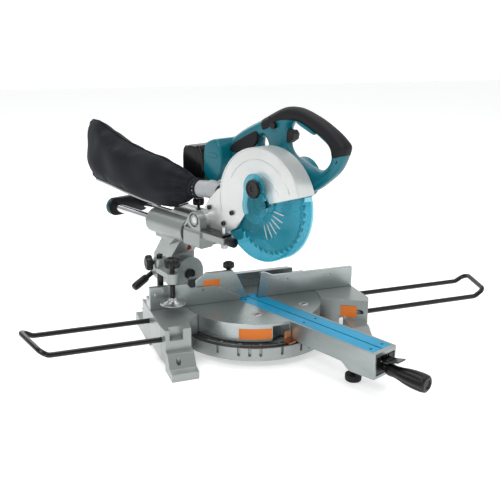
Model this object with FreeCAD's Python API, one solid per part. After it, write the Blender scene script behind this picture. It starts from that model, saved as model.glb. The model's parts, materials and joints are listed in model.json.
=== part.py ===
import FreeCAD, Part
import math
import os

from FreeCAD import Vector

os.makedirs("parts", exist_ok=True)

# Sliding compound mitre saw, battery powered, 190 mm blade.
# Millimetres. Origin: mitre axis on the bench plane. +X right, +Y back, +Z up.
# Everything carried by the turntable is drawn with the saw arm along -Y ("straight")
# and then turned about +Z by mitre_angle, the pose the saw rests in.

mitre_angle = 22.5
table_top = 78.0
turntable_r = 131.5
turntable_under = 44.0
ring_r = 151.0
ring_under = 16.0
ring_top = 40.0
arm_half = 29.0
arm_front = -320.0
fence_face = 1.0
fence_top = 122.0
fence_gap = 0.4
left_end = -203.0
right_end = 216.0
bar_r = 4.8
bar_z = 54.0
bar_y_back = 12.0
bar_y_front = -80.0
bar_insert = 58.0
blade_r = 95.0
blade_bore_r = 10.0
blade_y = -38.0
blade_z = 272.0
case_r = 106.5
case_wall = 2.5
case_left = -25.0
case_right = 14.0
guard_r = 103.4
pivot_y = 112.0
pivot_z = 222.0
pole_x = 34.5
pole_z = 190.0
pole_r = 9.0
bevel_y = 218.0
bevel_r = 37.0
handle_x = 55.0
handle_half = 17.0


def box(x0, x1, y0, y1, z0, z1):
    return Part.makeBox(x1 - x0, y1 - y0, z1 - z0, Vector(x0, y0, z0))


def rod(radius, start, end):
    a = Vector(*start)
    b = Vector(*end)
    return Part.makeCylinder(radius, (b - a).Length, a, b - a)


def tube(outer, inner, start, end):
    return rod(outer, start, end).cut(rod(inner, start, end))


def cone(r0, r1, start, end):
    a = Vector(*start)
    b = Vector(*end)
    return Part.makeCone(r0, r1, (b - a).Length, a, b - a)


def slab(points, axis, low, high):
    # flat outline pushed along one axis: x takes (y, z), y takes (x, z), z takes (x, y)
    if axis == "x":
        corners = [Vector(low, a, b) for a, b in points]
        push = Vector(high - low, 0, 0)
    elif axis == "y":
        corners = [Vector(a, low, b) for a, b in points]
        push = Vector(0, high - low, 0)
    else:
        corners = [Vector(a, b, low) for a, b in points]
        push = Vector(0, 0, high - low)
    wire = Part.makePolygon(corners + [corners[0]])
    return Part.Face(wire).extrude(push)


def join(shapes):
    whole = shapes[0]
    for other in shapes[1:]:
        whole = whole.fuse(other)
    return whole.removeSplitter()


def group(shapes):
    return Part.makeCompound(shapes)


def soften(shape, radius, wanted):
    # round the edges that the test picks out
    edges = [e for e in shape.Edges if wanted(e)]
    if not edges:
        return shape
    return shape.makeFillet(radius, edges)


def upright(edge):
    a = edge.Vertexes[0].Point
    b = edge.Vertexes[-1].Point
    d = b - a
    return len(edge.Vertexes) == 2 and abs(d.x) < 0.01 and abs(d.y) < 0.01 and abs(d.z) > 1.0


def along_x(edge):
    a = edge.Vertexes[0].Point
    b = edge.Vertexes[-1].Point
    d = b - a
    return len(edge.Vertexes) == 2 and abs(d.z) < 0.01 and abs(d.y) < 0.01 and abs(d.x) > 1.0


def hex_bar(across, start, end):
    a = Vector(*start)
    b = Vector(*end)
    d = b - a
    ring = [Vector(across / math.sqrt(3) * math.cos(math.radians(60 * k)),
                   across / math.sqrt(3) * math.sin(math.radians(60 * k)), 0) for k in range(7)]
    solid = Part.Face(Part.makePolygon(ring)).extrude(Vector(0, 0, d.Length))
    turn = FreeCAD.Rotation(Vector(0, 0, 1), d)
    solid.Placement = FreeCAD.Placement(a, turn)
    return solid


def cap_screw(head_r, head_len, shank_r, shank_len, at, way):
    # socket head screw: the head starts at the seat and stands out along "way"
    p = Vector(*at)
    w = Vector(*way).normalize()
    head = Part.makeCylinder(head_r, head_len, p, w)
    socket = hex_bar(head_r * 0.9, tuple(p + w * (head_len * 0.45)), tuple(p + w * (head_len + 1)))
    shank = Part.makeCylinder(shank_r, shank_len, p, w * -1)
    return head.cut(socket).fuse(shank)


def knob(radius, height, lobes, at, way):
    # lobed hand knob
    p = Vector(*at)
    w = Vector(*way).normalize()
    body = Part.makeCylinder(radius, height, Vector(0, 0, 0), Vector(0, 0, 1))
    for k in range(lobes):
        a = 2 * math.pi * (k + 0.5) / lobes
        scoop = Part.makeCylinder(radius * 0.34, height + 2,
                                  Vector(1.13 * radius * math.cos(a), 1.13 * radius * math.sin(a), -1))
        body = body.cut(scoop)
    body.Placement = FreeCAD.Placement(p, FreeCAD.Rotation(Vector(0, 0, 1), w))
    return body


# ---------------------------------------------------------------- base

detents = [-45, -30, -22.5, -15, 0, 15, 22.5, 30, 45]


def wing(side):
    # side -1 is the left wing, +1 the right one
    if side < 0:
        plan = [(-203, 66), (-203, -76), (-200, -101), (-153, -100), (-146, -54),
                (-118, -42), (-128, 20), (-152, 38)]
        toe = [(-96, 41), (-112, 38), (-128, 16), (-143, 14), (-143, 0), (-96, 0)]
        toe_x = (-200, -152)
    else:
        plan = [(216, 60), (216, -70), (205, -89), (142, -51), (110, -33), (118, 20), (150, 50)]
        toe = [(-64, 50), (-70, 40), (-104, 34), (-122, 16), (-130, 14), (-130, 0), (-66, 0)]
        toe_x = (164, 200)
    body = slab(plan, "z", 14, table_top)
    body = body.fuse(slab(toe, "x", toe_x[0], toe_x[1]))
    heel = box(side * 182 - 20, side * 182 + 20, 20, 141, 0, 22)
    body = body.fuse(heel)
    for y0, y1 in ((-66, -6), (2, 40)):
        x0, x1 = sorted((side * 196, side * 158))
        body = body.cut(box(x0, x1, y0, y1, 0, 44))
    return body


def base_casting():
    disc = Part.makeCylinder(ring_r, ring_top - ring_under, Vector(0, 0, ring_under))
    body = disc.fuse([wing(-1), wing(1)])
    # turntable seat
    body = body.cut(Part.makeCylinder(turntable_r + 1.0, 60, Vector(0, 0, ring_top)))
    # shallow recess under the ring
    body = body.cut(tube(ring_r - 8, 26, (0, 0, ring_under - 1), (0, 0, ring_under + 7)))
    # mitre detent notches in the ring wall
    for a in detents:
        notch = box(-2.6, 2.6, -ring_r - 2, -ring_r + 6, 27, ring_top + 1)
        notch = notch.fuse(rod(2.6, (0, -ring_r - 2, 27), (0, -ring_r + 6, 27)))
        notch.rotate(Vector(0, 0, 0), Vector(0, 0, 1), a)
        body = body.cut(notch)
    # bores for the extension bars
    for y in (bar_y_back, bar_y_front):
        body = body.cut(rod(bar_r + 0.05, (left_end - 2, y, bar_z), (left_end + bar_insert + 4, y, bar_z)))
        body = body.cut(rod(bar_r + 0.05, (right_end + 2, y, bar_z), (right_end - bar_insert - 4, y, bar_z)))
    # thumb screw bores into the back bars
    body = body.cut(rod(3.05, (-195, 90, bar_z), (-195, bar_y_back, bar_z)))
    body = body.cut(rod(3.05, (196, 90, bar_z), (196, bar_y_back, bar_z)))
    # vise post bores
    for x in (-176, 176):
        body = body.cut(rod(6.05, (x, 26, 44.5), (x, 26, table_top + 1)))
    # pocket with a hole in the front of the left leg
    body = body.cut(box(-192, -168, -104, -86, 58, table_top + 1))
    # centre bore and table bolt well
    body = body.cut(rod(8.05, (0, 0, 0), (0, 0, ring_top + 1)))
    body = body.cut(rod(20, (0, 0, 0), (0, 0, 24)))
    # bench bolt holes
    for x in (-bench_x, bench_x):
        for y in (bench_front, bench_back):
            body = body.cut(rod(bench_r, (x, y, 0), (x, y, 40)))
    # seats for the fence screws
    for x in (-186, -158, 158, 190):
        body = body.cut(rod(2.5, (x, 16, 60), (x, 16, table_top + 1)))
    # wells for the rubber feet
    for x, y in foot_places:
        body = body.cut(rod(11, (x, y, -1), (x, y, 4)))
    return body.removeSplitter()


bench_x = 182.0
bench_front = -120.0
bench_back = 120.0
bench_r = 4.5
foot_places = [(-168, -108), (185, -104), (-182, 92), (182, 92)]


def rubber_feet():
    feet = []
    for x, y in foot_places:
        feet.append(rod(11, (x, y, 0), (x, y, 4)))
    return group(feet)


def mitre_scale():
    plate = tube(ring_r - 1, turntable_r + 1.5, (0, 0, ring_top), (0, 0, ring_top + 1.4))
    pie = slab([(0, 0), (-190, -50), (-190, -260), (190, -260), (120, -60)], "z", ring_top, ring_top + 1.4)
    return plate.common(pie).cut(wing(-1)).cut(wing(1))


def guide_fence():
    low = table_top + fence_gap
    left = [(-202, low), (-202, fence_top), (-132, fence_top), (-124, 113), (-75, 113),
            (-25, 85), (-25, low)]
    plate = slab(left, "y", fence_face, fence_face + 3)
    stout = box(-202, -136, fence_face + 3, fence_face + 9, low, fence_top)
    right = [(11, low), (18, 127), (27, 127), (44, 119), (215, 119), (215, low)]
    wall = slab(right, "y", fence_face, fence_face + 9)
    # ledge behind each face, bridge behind the blade gap
    ledge = [(-202, 4), (-90, 4), (-104, 20), (-112, 66), (-104, 78), (-140, 78), (-146, 34), (-202, 34)]
    ledge_left = slab(ledge, "z", low, 95.5)
    ledge_right = slab([(215, 6), (60, 6), (84, 22), (112, 66), (104, 78), (140, 78), (146, 34), (215, 34)],
                       "z", low, 95.5)
    bridge = slab([(-112, 66), (-104, 78), (104, 78), (112, 66)], "z", low, 108)
    pads = [box(-202, -140, 6, 32, table_top, low), box(140, 215, 6, 32, table_top, low)]
    body = join([plate, stout, wall, ledge_left, ledge_right, bridge] + pads)
    for x in (-193, -100):
        body = body.cut(rod(2.4, (x, -5, 107), (x, 20, 107)))
    for x in (73, 164):
        body = body.cut(rod(2.4, (x, -5, 108), (x, 20, 108)))
    for x in (-186, -158, 158, 190):
        body = body.cut(rod(3.2, (x, 16, 70), (x, 16, 100)))
    for x in (-176, 176):
        body = body.cut(rod(6.05, (x, 26, 70), (x, 26, 100)))
    return body.removeSplitter()


def fence_screws():
    return group([cap_screw(5.4, 5.5, 2.5, 33, (x, 16, 95.5), (0, 0, 1)) for x in (-186, -158, 158, 190)])


def sub_fence():
    face = [(-112, 96), (-112, 124), (-92, 138), (-40, 138), (-31, 128), (-9, 80), (-58, 80), (-66, 96)]
    plate = slab(face, "y", fence_face + 3.3, fence_face + 10)
    foot = box(-108, -30, fence_face + 10, 30, 96, 101)
    rib = slab([(11, 101), (11, 121), (26, 101)], "x", -110, -105)
    body = join([plate, foot, rib]).cut(rod(3.1, (-42, 22, 90), (-42, 22, 110)))
    return body.cut(box(-66.5, -5, fence_face + 2, 14, 78, 81)).removeSplitter()


def sub_fence_knob():
    post = rod(3.0, (-42, 22, 96), (-42, 22, 134))
    collar = rod(5, (-42, 22, 101.2), (-42, 22, 138))
    return join([post, collar, knob(11, 12, 6, (-42, 22, 138), (0, 0, 1))])


def bar_path(side):
    # one bent wire: out along the back, up at the end, across on the skew and back again
    back, front = bar_y_back, bar_y_front
    if side < 0:
        return [(left_end + bar_insert, back, bar_z), (-414, back, bar_z), (-438, back, 68),
                (-408, front, 62), (-396, front, bar_z), (left_end + bar_insert, front, bar_z)]
    return [(right_end - bar_insert, back, bar_z), (478, back, bar_z), (505, back, 68),
            (481, front, 67), (460, front, bar_z), (right_end - 20, front, bar_z)]


def extension_bar(side):
    pts = bar_path(side)
    body = None
    for a, b in zip(pts[:-1], pts[1:]):
        piece = rod(bar_r, a, b)
        body = piece if body is None else body.fuse(piece)
    for p in pts[1:-1]:
        body = body.fuse(Part.makeSphere(bar_r, Vector(*p)))
    return body.removeSplitter()


def thumb_screw(x, y_face):
    shank = rod(3.0, (x, bar_y_back + bar_r + 0.3, bar_z), (x, y_face, bar_z))
    head = knob(8, 9, 6, (x, y_face, bar_z), (0, 1, 0))
    return shank.fuse(head).removeSplitter()


# ---------------------------------------------------------------- hold-down

vise_x = -176.0
vise_y = 26.0
spindle_x = -166.0
spindle_y = -27.0


def vise_post():
    return rod(6.0, (vise_x, vise_y, 46), (vise_x, vise_y, 178))


def vise_arm():
    clamp = box(vise_x - 11, vise_x + 12, vise_y - 12, vise_y + 9.5, 152, 171)
    clamp = soften(clamp, 7, upright)
    reach = slab([(vise_x - 10, vise_y - 10), (vise_x + 12, vise_y - 10),
                  (spindle_x + 10, spindle_y), (spindle_x - 10, spindle_y)], "z", 147, 157)
    nose = rod(11, (spindle_x, spindle_y, 138), (spindle_x, spindle_y, 157))
    body = join([clamp, reach, nose])
    body = body.cut(rod(6.08, (vise_x, vise_y, 140), (vise_x, vise_y, 190)))
    body = body.cut(rod(5.08, (spindle_x, spindle_y, 130), (spindle_x, spindle_y, 190)))
    body = body.cut(rod(3.05, (vise_x - 30, vise_y, 163), (vise_x - 5, vise_y, 163)))
    return body


def vise_clamp_screw():
    shank = rod(3.0, (vise_x - 6.4, vise_y, 163), (vise_x - 14, vise_y, 163))
    head = knob(15, 13, 5, (vise_x - 14, vise_y, 163), (-1, 0, 0))
    return shank.fuse(head).removeSplitter()


def vise_spindle():
    screw = rod(5.0, (spindle_x, spindle_y, 104), (spindle_x, spindle_y, 168))
    cone_end = cone(7, 5, (spindle_x, spindle_y, 104), (spindle_x, spindle_y, 112))
    hand = knob(15.5, 17, 7, (spindle_x, spindle_y, 168), (0, 0, 1))
    return join([screw, cone_end, hand])



def vise_pad():
    dish = rod(24, (spindle_x, spindle_y, 98), (spindle_x, spindle_y, 101))
    rise = cone(17, 9, (spindle_x, spindle_y, 101), (spindle_x, spindle_y, 104))
    return join([dish, rise])


# ---------------------------------------------------------------- turntable (straight)

slot_half = 4.0


def turntable():
    disc = Part.makeCylinder(turntable_r, table_top - turntable_under, Vector(0, 0, turntable_under))
    side = [(-60, table_top), (arm_front, table_top), (arm_front, 33), (-268, 31), (-250, 43),
            (-160, 43.5), (-160, turntable_under), (-60, turntable_under)]
    arm = slab(side, "x", -arm_half, arm_half)
    arm = soften(arm, 3.0, lambda e: upright(e) and e.Vertexes[0].Point.y < arm_front + 1)
    neck = slab([(100, turntable_under), (155, 43), (bevel_y - 24, 34), (bevel_y - 0.3, 34), (bevel_y - 0.3, 62),
                 (150, 62), (100, table_top - 3)], "x", -36, 36)
    boss = rod(bevel_r, (0, bevel_y - 22, table_top), (0, bevel_y - 0.3, table_top))
    body = join([disc, arm, neck, boss])
    # hollow under the arm, left open at the front
    body = body.cut(box(-arm_half + 4, arm_half - 4, arm_front + 4, -150, 20, table_top - 9))
    body = body.cut(box(-arm_half + 5, arm_half - 5, arm_front - 1, arm_front + 5, 38, table_top - 7))
    boss_block = box(-arm_half + 4, arm_half - 4, -268, -243, 44, table_top - 9)
    boss_block = boss_block.cut(rod(4.05, (0, -255, 40), (0, -255, 68)))
    rib = box(-arm_half + 4, arm_half - 4, -204, -200, 46, table_top - 9)
    body = body.fuse([boss_block, rib])
    # channel for the kerf boards and the blade slot below them
    body = body.cut(box(-25, 25, -312, 20, table_top - 3, table_top + 1))
    body = body.cut(box(-slot_half, slot_half, -306, 62, turntable_under + 8, table_top + 1))
    body = body.cut(rod(8.05, (0, 0, 30), (0, 0, 60)))
    # side recess for the mitre pointer
    body = body.cut(box(-60, -arm_half - 0.5, -135, -108, turntable_under - 1, table_top - 5))
    # hole for the bevel pivot and the arm foot
    body = body.cut(rod(8.05, (0, bevel_y - 40, table_top), (0, bevel_y + 1, table_top)))
    return body.removeSplitter()


def kerf_board(side):
    x0, x1 = (-24.7, -1.6) if side < 0 else (1.6, 24.7)
    board = box(x0, x1, -311.7, 19, table_top - 3, table_top - 0.2)
    for y in (-300, -150, 5):
        board = board.cut(rod(2.6, (side * 15, y, table_top - 4), (side * 15, y, table_top + 1)))
    return board


def kerf_screws():
    screws = []
    for side in (-1, 1):
        for y in (-300, -150, 5):
            x = side * 15
            head = rod(2.55, (x, y, table_top - 3), (x, y, table_top - 0.6))
            cross = box(x - 1.6, x + 1.6, y - 0.4, y + 0.4, table_top - 1.4, table_top)
            screws.append(head.cut(cross))
    return group(screws)


def mitre_pointer():
    plate = box(-47, -31, -134, -132.5, turntable_under - 0.5, table_top - 14)
    foot = box(-47, -31, -146, -132.5, turntable_under - 0.5, turntable_under + 1)
    return join([plate, foot])


def table_bolt():
    head = hex_bar(24, (0, 0, 17), (0, 0, 23.8))
    shank = rod(8.0, (0, 0, 23.8), (0, 0, 52))
    return head.fuse(shank).removeSplitter()


def arm_foot():
    screw = rod(4.0, (0, -255, 10), (0, -255, 52))
    foot = cone(13, 14.5, (0, -255, 0), (0, -255, 4)).fuse(rod(14.5, (0, -255, 4), (0, -255, 12)))
    for k in range(18):
        a = 2 * math.pi * k / 18
        foot = foot.cut(rod(1.2, (14.9 * math.cos(a), -255 + 14.9 * math.sin(a), -1),
                            (14.9 * math.cos(a), -255 + 14.9 * math.sin(a), 13)))
    return screw.fuse(foot).removeSplitter()



def arm_end_plate():
    plate = box(-arm_half + 5.2, arm_half - 5.2, arm_front + 1, arm_front + 4, 38.2, table_top - 9.2)
    plate = plate.cut(rod(6.3, (0, arm_front - 2, 47), (0, arm_front + 8, 47)))
    return plate.cut(box(-11, 11, arm_front - 2, arm_front + 8, 57.5, 68))



def mitre_grip():
    profile = [(0, -326), (10, -326), (11, -332), (10.5, -345), (13, -362), (15.5, -385), (15.5, -398),
               (12.5, -403), (0, -403)]
    pts = [Vector(r, y, 47) for r, y in profile]
    face = Part.Face(Part.makePolygon(pts + [pts[0]]))
    body = face.revolve(Vector(0, 0, 47), Vector(0, 1, 0), 360)
    for k in range(8):
        a = 2 * math.pi * k / 8
        c = (17.6 * math.cos(a), 47 + 17.6 * math.sin(a))
        body = body.cut(rod(3.2, (c[0], -352, c[1]), (c[0], -399, c[1])))
    return body.fuse(rod(6.0, (0, -300, 47), (0, -330, 47))).removeSplitter()


def detent_lever():
    side = [(-292, 61.5), (-330, 61.5), (-352, 68), (-352, 70.5), (-330, 65), (-292, 65)]
    blade = slab(side, "x", -10, 10)
    hook = box(-3, 3, -300, -292, 56, 62)
    barrel = rod(2.6, (-10, -293, 63), (10, -293, 63))
    return join([blade, hook, barrel])


# ---------------------------------------------------------------- bevel arm

def bevel_arm():
    hub = rod(bevel_r, (0, bevel_y, table_top), (0, bevel_y + 66, table_top))
    web = slab([(160, 176), (262, 176), (254, 150), (282, 112), (284, 60), (bevel_y, 60), (bevel_y, 120),
                (192, 153)], "x", -30, 30)
    cheek = slab([(168, 182), (258, 182), (250, 160), (232, 160), (205, 150)], "x", -46, 46)
    barrels = [rod(26, (x, 147, pole_z), (x, 266, pole_z)) for x in (-pole_x, pole_x)]
    bridge = box(-pole_x, pole_x, 150, 263, 170, 204)
    body = join([hub, web, cheek, bridge] + barrels)
    for x in (-pole_x, pole_x):
        body = body.cut(rod(12.0, (x, 140, pole_z), (x, 270, pole_z)))
    body = body.cut(rod(8.05, (0, bevel_y - 2, table_top), (0, bevel_y + 58, table_top)))
    body = body.cut(rod(14, (0, bevel_y + 50, table_top), (0, bevel_y + 70, table_top)))
    # wide scoop in the front of the web
    body = body.cut(rod(46, (-20, 158, 118), (20, 158, 118)))
    body = body.cut(rod(3.05, (pole_x, 206, 200), (pole_x, 206, 240)))
    return body.removeSplitter()


def pole_bushes():
    bushes = []
    for x in (-pole_x, pole_x):
        for y0, y1 in ((149, 177), (236, 264)):
            bushes.append(tube(12.0, pole_r + 0.05, (x, y0, pole_z), (x, y1, pole_z)))
    return group(bushes)


def bevel_pin():
    pin = rod(8.0, (0, bevel_y - 20, table_top), (0, bevel_y + 57.5, table_top))
    ring = tube(11.5, 8.0, (0, bevel_y - 26, table_top), (0, bevel_y - 22.2, table_top))
    cap = rod(8.0, (0, bevel_y - 25, table_top), (0, bevel_y - 20, table_top))
    return join([pin, cap, ring])


def bevel_lever():
    hub = rod(13, (0, bevel_y + 58, table_top), (0, bevel_y + 80, table_top))
    stem = rod(6, (0, bevel_y + 73, table_top), (-62, bevel_y + 73, table_top - 30))
    tip = rod(9, (-44, bevel_y + 73, table_top - 21.3), (-80, bevel_y + 73, table_top - 38.7))
    return join([hub, stem, tip])



def pole_lock_screw():
    shank = rod(3.0, (pole_x, 206, pole_z + pole_r + 0.3), (pole_x, 206, 222))
    return shank.fuse(knob(13, 15, 6, (pole_x, 206, 222), (0, 0, 1))).removeSplitter()


# ---------------------------------------------------------------- carriage

pole_back = 414.0


def slide_pole(side):
    return rod(pole_r, (side * pole_x, 92, pole_z), (side * pole_x, pole_back, pole_z))


def pole_cap():
    left = rod(20, (-pole_x, pole_back, pole_z), (-pole_x, pole_back + 16, pole_z))
    right = rod(20, (pole_x, pole_back, pole_z), (pole_x, pole_back + 16, pole_z))
    body = join([left, right, box(-pole_x, pole_x, pole_back, pole_back + 16, pole_z - 20, pole_z + 20)])
    return soften(body, 3, lambda e: e.BoundBox.YMax > pole_back + 15.9 and e.BoundBox.YMin > pole_back + 15.9)



def carriage():
    block = box(-58, 58, 90, 141, 168, 203)
    block = soften(block, 6, lambda e: e.BoundBox.YLength > 40)
    ears = []
    for x0, x1 in ((-54, -37), (37, 54)):
        disc = rod(16.5, (x0, pivot_y, pivot_z), (x1, pivot_y, pivot_z))
        rib = slab([(92, 200), (140, 200), (146, 203), (pivot_y + 17, pivot_z + 6), (pivot_y - 17, pivot_z + 6)],
                   "x", x0, x1)
        ears.append(disc.fuse(rib))
    tongue = box(-54, -33, 24, 92, 190, 203)
    body = join([block, tongue] + ears)
    # room for the blade case to swing down between the ears
    body = body.cut(rod(38, (-25.5, pivot_y, pivot_z), (14.5, pivot_y, pivot_z)))
    body = body.cut(box(-25.5, 14.5, 88, 98, 165, 206))
    # triangular lightening pocket in the outer face of each ear
    for x0, x1 in ((-55, -50), (50, 55)):
        body = body.cut(slab([(132, 212), (141, 204), (120, 204)], "x", x0, x1))
        body = body.cut(tube(14, 10.5, (x0, pivot_y, pivot_z), (x1, pivot_y, pivot_z)))
    for x in (-pole_x, pole_x):
        body = body.cut(rod(pole_r, (x, 91.9, pole_z), (x, 150, pole_z)))
    body = body.cut(rod(7.05, (-70, pivot_y, pivot_z), (70, pivot_y, pivot_z)))
    body = body.cut(rod(4.05, (-43.5, 34, 180), (-43.5, 34, 210)))
    body = body.cut(rod(3.05, (-43.5, 20, 196.5), (-43.5, 29, 196.5)))
    return body.removeSplitter()


def pivot_shaft():
    return rod(7.0, (-53.5, pivot_y, pivot_z), (53.5, pivot_y, pivot_z))


def stop_arm():
    plate = box(-55, -32, 26, 88, 203.3, 208)
    return plate.cut(rod(4.05, (-43.5, 34, 200), (-43.5, 34, 212)))


def depth_screw():
    screw = rod(4.0, (-43.5, 34, 186), (-43.5, 34, 222))
    head = rod(7, (-43.5, 34, 181), (-43.5, 34, 189.6))
    for k in range(12):
        a = 2 * math.pi * k / 12
        head = head.cut(rod(0.9, (-43.5 + 7.3 * math.cos(a), 34 + 7.3 * math.sin(a), 180),
                            (-43.5 + 7.3 * math.cos(a), 34 + 7.3 * math.sin(a), 191)))
    return screw.fuse(head).removeSplitter()


def stopper_pin():
    stem = rod(3.0, (-43.5, 6, 196.5), (-43.5, 28.5, 196.5))
    grip = rod(9, (-43.5, 4, 196.5), (-43.5, 21, 196.5))
    return join([stem, grip])


# ---------------------------------------------------------------- head

def ring_between(radius_out, radius_in, x0, x1):
    return tube(radius_out, radius_in, (x0, blade_y, blade_z), (x1, blade_y, blade_z))


def pie(x0, x1, from_deg, to_deg, reach):
    # wedge of the blade disc; 0 degrees points forward (-Y), 90 points up
    points = [(blade_y, blade_z)]
    steps = 8
    for k in range(steps + 1):
        a = math.radians(from_deg + (to_deg - from_deg) * k / steps)
        points.append((blade_y - reach * math.cos(a), blade_z + reach * math.sin(a)))
    return slab(points, "x", x0, x1)


def blade_case():
    shell = rod(case_r, (case_left, blade_y, blade_z), (case_right, blade_y, blade_z))
    lobe = slab([(40, 300), (74, 286), (100, 262), (pivot_y + 6, pivot_z + 16), (pivot_y, pivot_z - 16),
                 (88, 205), (52, 203), (20, 220), (-10, 260)], "x", case_left, case_right)
    hub = rod(17, (-36.5, pivot_y, pivot_z), (36.5, pivot_y, pivot_z))
    keep = pie(case_left - 1, case_right + 1, 18, 212, 160)
    body = shell.common(keep).fuse([lobe, hub])
    hollow = rod(case_r - case_wall, (case_left + 2.5, blade_y, blade_z), (case_right - 2.5, blade_y, blade_z))
    body = body.cut(hollow)
    body = body.cut(rod(15.6, (5, blade_y, blade_z), (case_right + 2, blade_y, blade_z)))
    body = body.cut(rod(7.05, (-40, pivot_y, pivot_z), (40, pivot_y, pivot_z)))
    # ring the guard turns on
    body = body.fuse(tube(17.42, 15.6, (6, blade_y, blade_z), (11.6, blade_y, blade_z)))
    # dust outlet
    body = body.cut(rod(14, (-6, 20, 271.6), (-6, 110, 275.5)))
    body = body.cut(nozzle_outside())
    left_window = rod(30, (case_left - 1, blade_y, blade_z), (case_left + 3, blade_y, blade_z))
    body = body.cut(left_window)
    for y, z in case_bolts:
        body = body.cut(rod(3.0, (case_left - 1, y, z), (case_left + 6, y, z)))
    return body.removeSplitter()


case_bolts = [(32, 247), (98, 246), (56, 222)]


def case_screws():
    screws = []
    for y, z in case_bolts:
        screws.append(cap_screw(4.6, 4.0, 3.0, 2.4, (case_left, y, z), (-1, 0, 0)))
    return group(screws)


def centre_cover():
    # clear plate over the arbor, hung from the round cap above it
    lower = rod(30, (-36.5, blade_y, blade_z), (-34, blade_y, blade_z))
    upper = rod(27, (-36.5, -38, 306), (-34, -38, 306))
    waist = slab([(-66, 272), (-64, 306), (-12, 306), (-9, 272)], "x", -36.5, -34)
    rim_low = rod(30, (-34, blade_y, blade_z), (case_left, blade_y, blade_z))
    rim_low = rim_low.cut(rod(28, (-34, blade_y, blade_z), (case_left, blade_y, blade_z)))
    body = join([lower, upper, waist]).cut(rod(6.05, (-40, -38, 306), (-30, -38, 306)))
    return body



def cover_cap():
    disc = rod(17, (-42, -38, 306), (-36.6, -38, 306))
    disc = disc.cut(hex_bar(8, (-43, -38, 306), (-39, -38, 306)))
    stem = rod(6.0, (-36.6, -38, 306), (-33.9, -38, 306))
    spacer = rod(12, (-33.9, -38, 306), (case_left, -38, 306))
    return join([disc, stem, spacer])


def gear_housing():
    drum = rod(36, (case_right + 0.1, blade_y, blade_z), (48, blade_y, blade_z))
    upper = rod(34, (case_right + 0.1, -24, 306), (48, -24, 306))
    hull = slab([(-74, 272), (-58, 306), (10, 306), (-2, 272)], "x", case_right + 0.1, 48)
    arm = slab([(-10, 300), (60, 282), (96, 240), (80, 222), (40, 236), (-20, 250)], "x", case_right + 0.1, 34)
    body = join([drum, upper, hull, arm])
    body = body.cut(rod(31, (case_right + 3, blade_y, blade_z), (44, blade_y, blade_z)))
    body = body.cut(rod(28, (case_right + 3, -24, 306), (44, -24, 306)))
    body = body.cut(rod(6.05, (case_right - 1, blade_y, blade_z), (case_right + 4, blade_y, blade_z)))
    body = body.cut(rod(9, (40, -24, 306), (50, -24, 306)))
    return body.removeSplitter()



def blade_spindle():
    shaft = rod(6.0, (2.5, blade_y, blade_z), (43.5, blade_y, blade_z))
    seat = rod(15, (1.0, blade_y, blade_z), (5.0, blade_y, blade_z))
    nose = rod(blade_bore_r - 0.05, (-1.0, blade_y, blade_z), (1.0, blade_y, blade_z))
    shaft = join([shaft, seat, nose, spindle_gear()])
    return shaft.cut(rod(4.0, (-2, blade_y, blade_z), (20, blade_y, blade_z)))


def spindle_gear():
    gear = rod(28.5, (24, blade_y, blade_z), (34, blade_y, blade_z))
    for k in range(36):
        a = 2 * math.pi * k / 36
        gear = gear.cut(rod(1.1, (23, blade_y + 28.5 * math.cos(a), blade_z + 28.5 * math.sin(a)),
                            (35, blade_y + 28.5 * math.cos(a), blade_z + 28.5 * math.sin(a))))
    return gear.cut(rod(6.0, (20, blade_y, blade_z), (40, blade_y, blade_z)))


def saw_blade():
    teeth = 40
    plate = rod(blade_r - 6, (-0.8, blade_y, blade_z), (0.8, blade_y, blade_z))
    outline = []
    for k in range(teeth):
        a = 2 * math.pi * k / teeth
        step = 2 * math.pi / teeth
        for share, radius in ((0.0, blade_r), (0.12, blade_r - 1.2), (0.5, blade_r - 3.0),
                              (0.72, blade_r - 8.0), (0.9, blade_r - 7.0)):
            t = a + share * step
            outline.append((blade_y - radius * math.cos(t), blade_z - radius * math.sin(t)))
    plate = slab(outline, "x", -0.9, 0.9)
    return plate.cut(rod(blade_bore_r, (-3, blade_y, blade_z), (3, blade_y, blade_z)))


def outer_flange():
    disc = rod(18, (-4.5, blade_y, blade_z), (-1.05, blade_y, blade_z))
    return disc.cut(rod(4.05, (-10, blade_y, blade_z), (2, blade_y, blade_z)))


def arbor_bolt():
    head = hex_bar(13, (-11, blade_y, blade_z), (-4.6, blade_y, blade_z))
    return head.fuse(rod(3.95, (-4.6, blade_y, blade_z), (16, blade_y, blade_z))).removeSplitter()


def lower_guard():
    # open drum sector in front of and below the blade
    x0, x1 = -20.5, 10.0
    drum = rod(guard_r, (x0, blade_y, blade_z), (x1, blade_y, blade_z))
    inside = rod(guard_r - 2.2, (x0 + 2.2, blade_y, blade_z), (x1 - 2.2, blade_y, blade_z))
    body = drum.cut(inside)
    body = body.common(pie(x0 - 1, x1 + 1, -196, 12, 180).fuse(rod(27, (x0, blade_y, blade_z),
                                                                    (x1, blade_y, blade_z))))
    body = body.cut(rod(20, (x0 - 1, blade_y, blade_z), (x0 + 4, blade_y, blade_z)))
    body = body.cut(rod(17.5, (x1 - 4, blade_y, blade_z), (x1 + 1, blade_y, blade_z)))
    # view slots fanned in the left plate
    for k in range(6):
        a = -6.0 - 13.0 * k
        slot = box(x0 - 1, x0 + 4, -62, -34, -1.3, 1.3)
        slot.rotate(Vector(0, 0, 0), Vector(1, 0, 0), -a)
        slot.translate(Vector(0, blade_y, blade_z))
        body = body.cut(slot)
    return body.removeSplitter()



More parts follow.
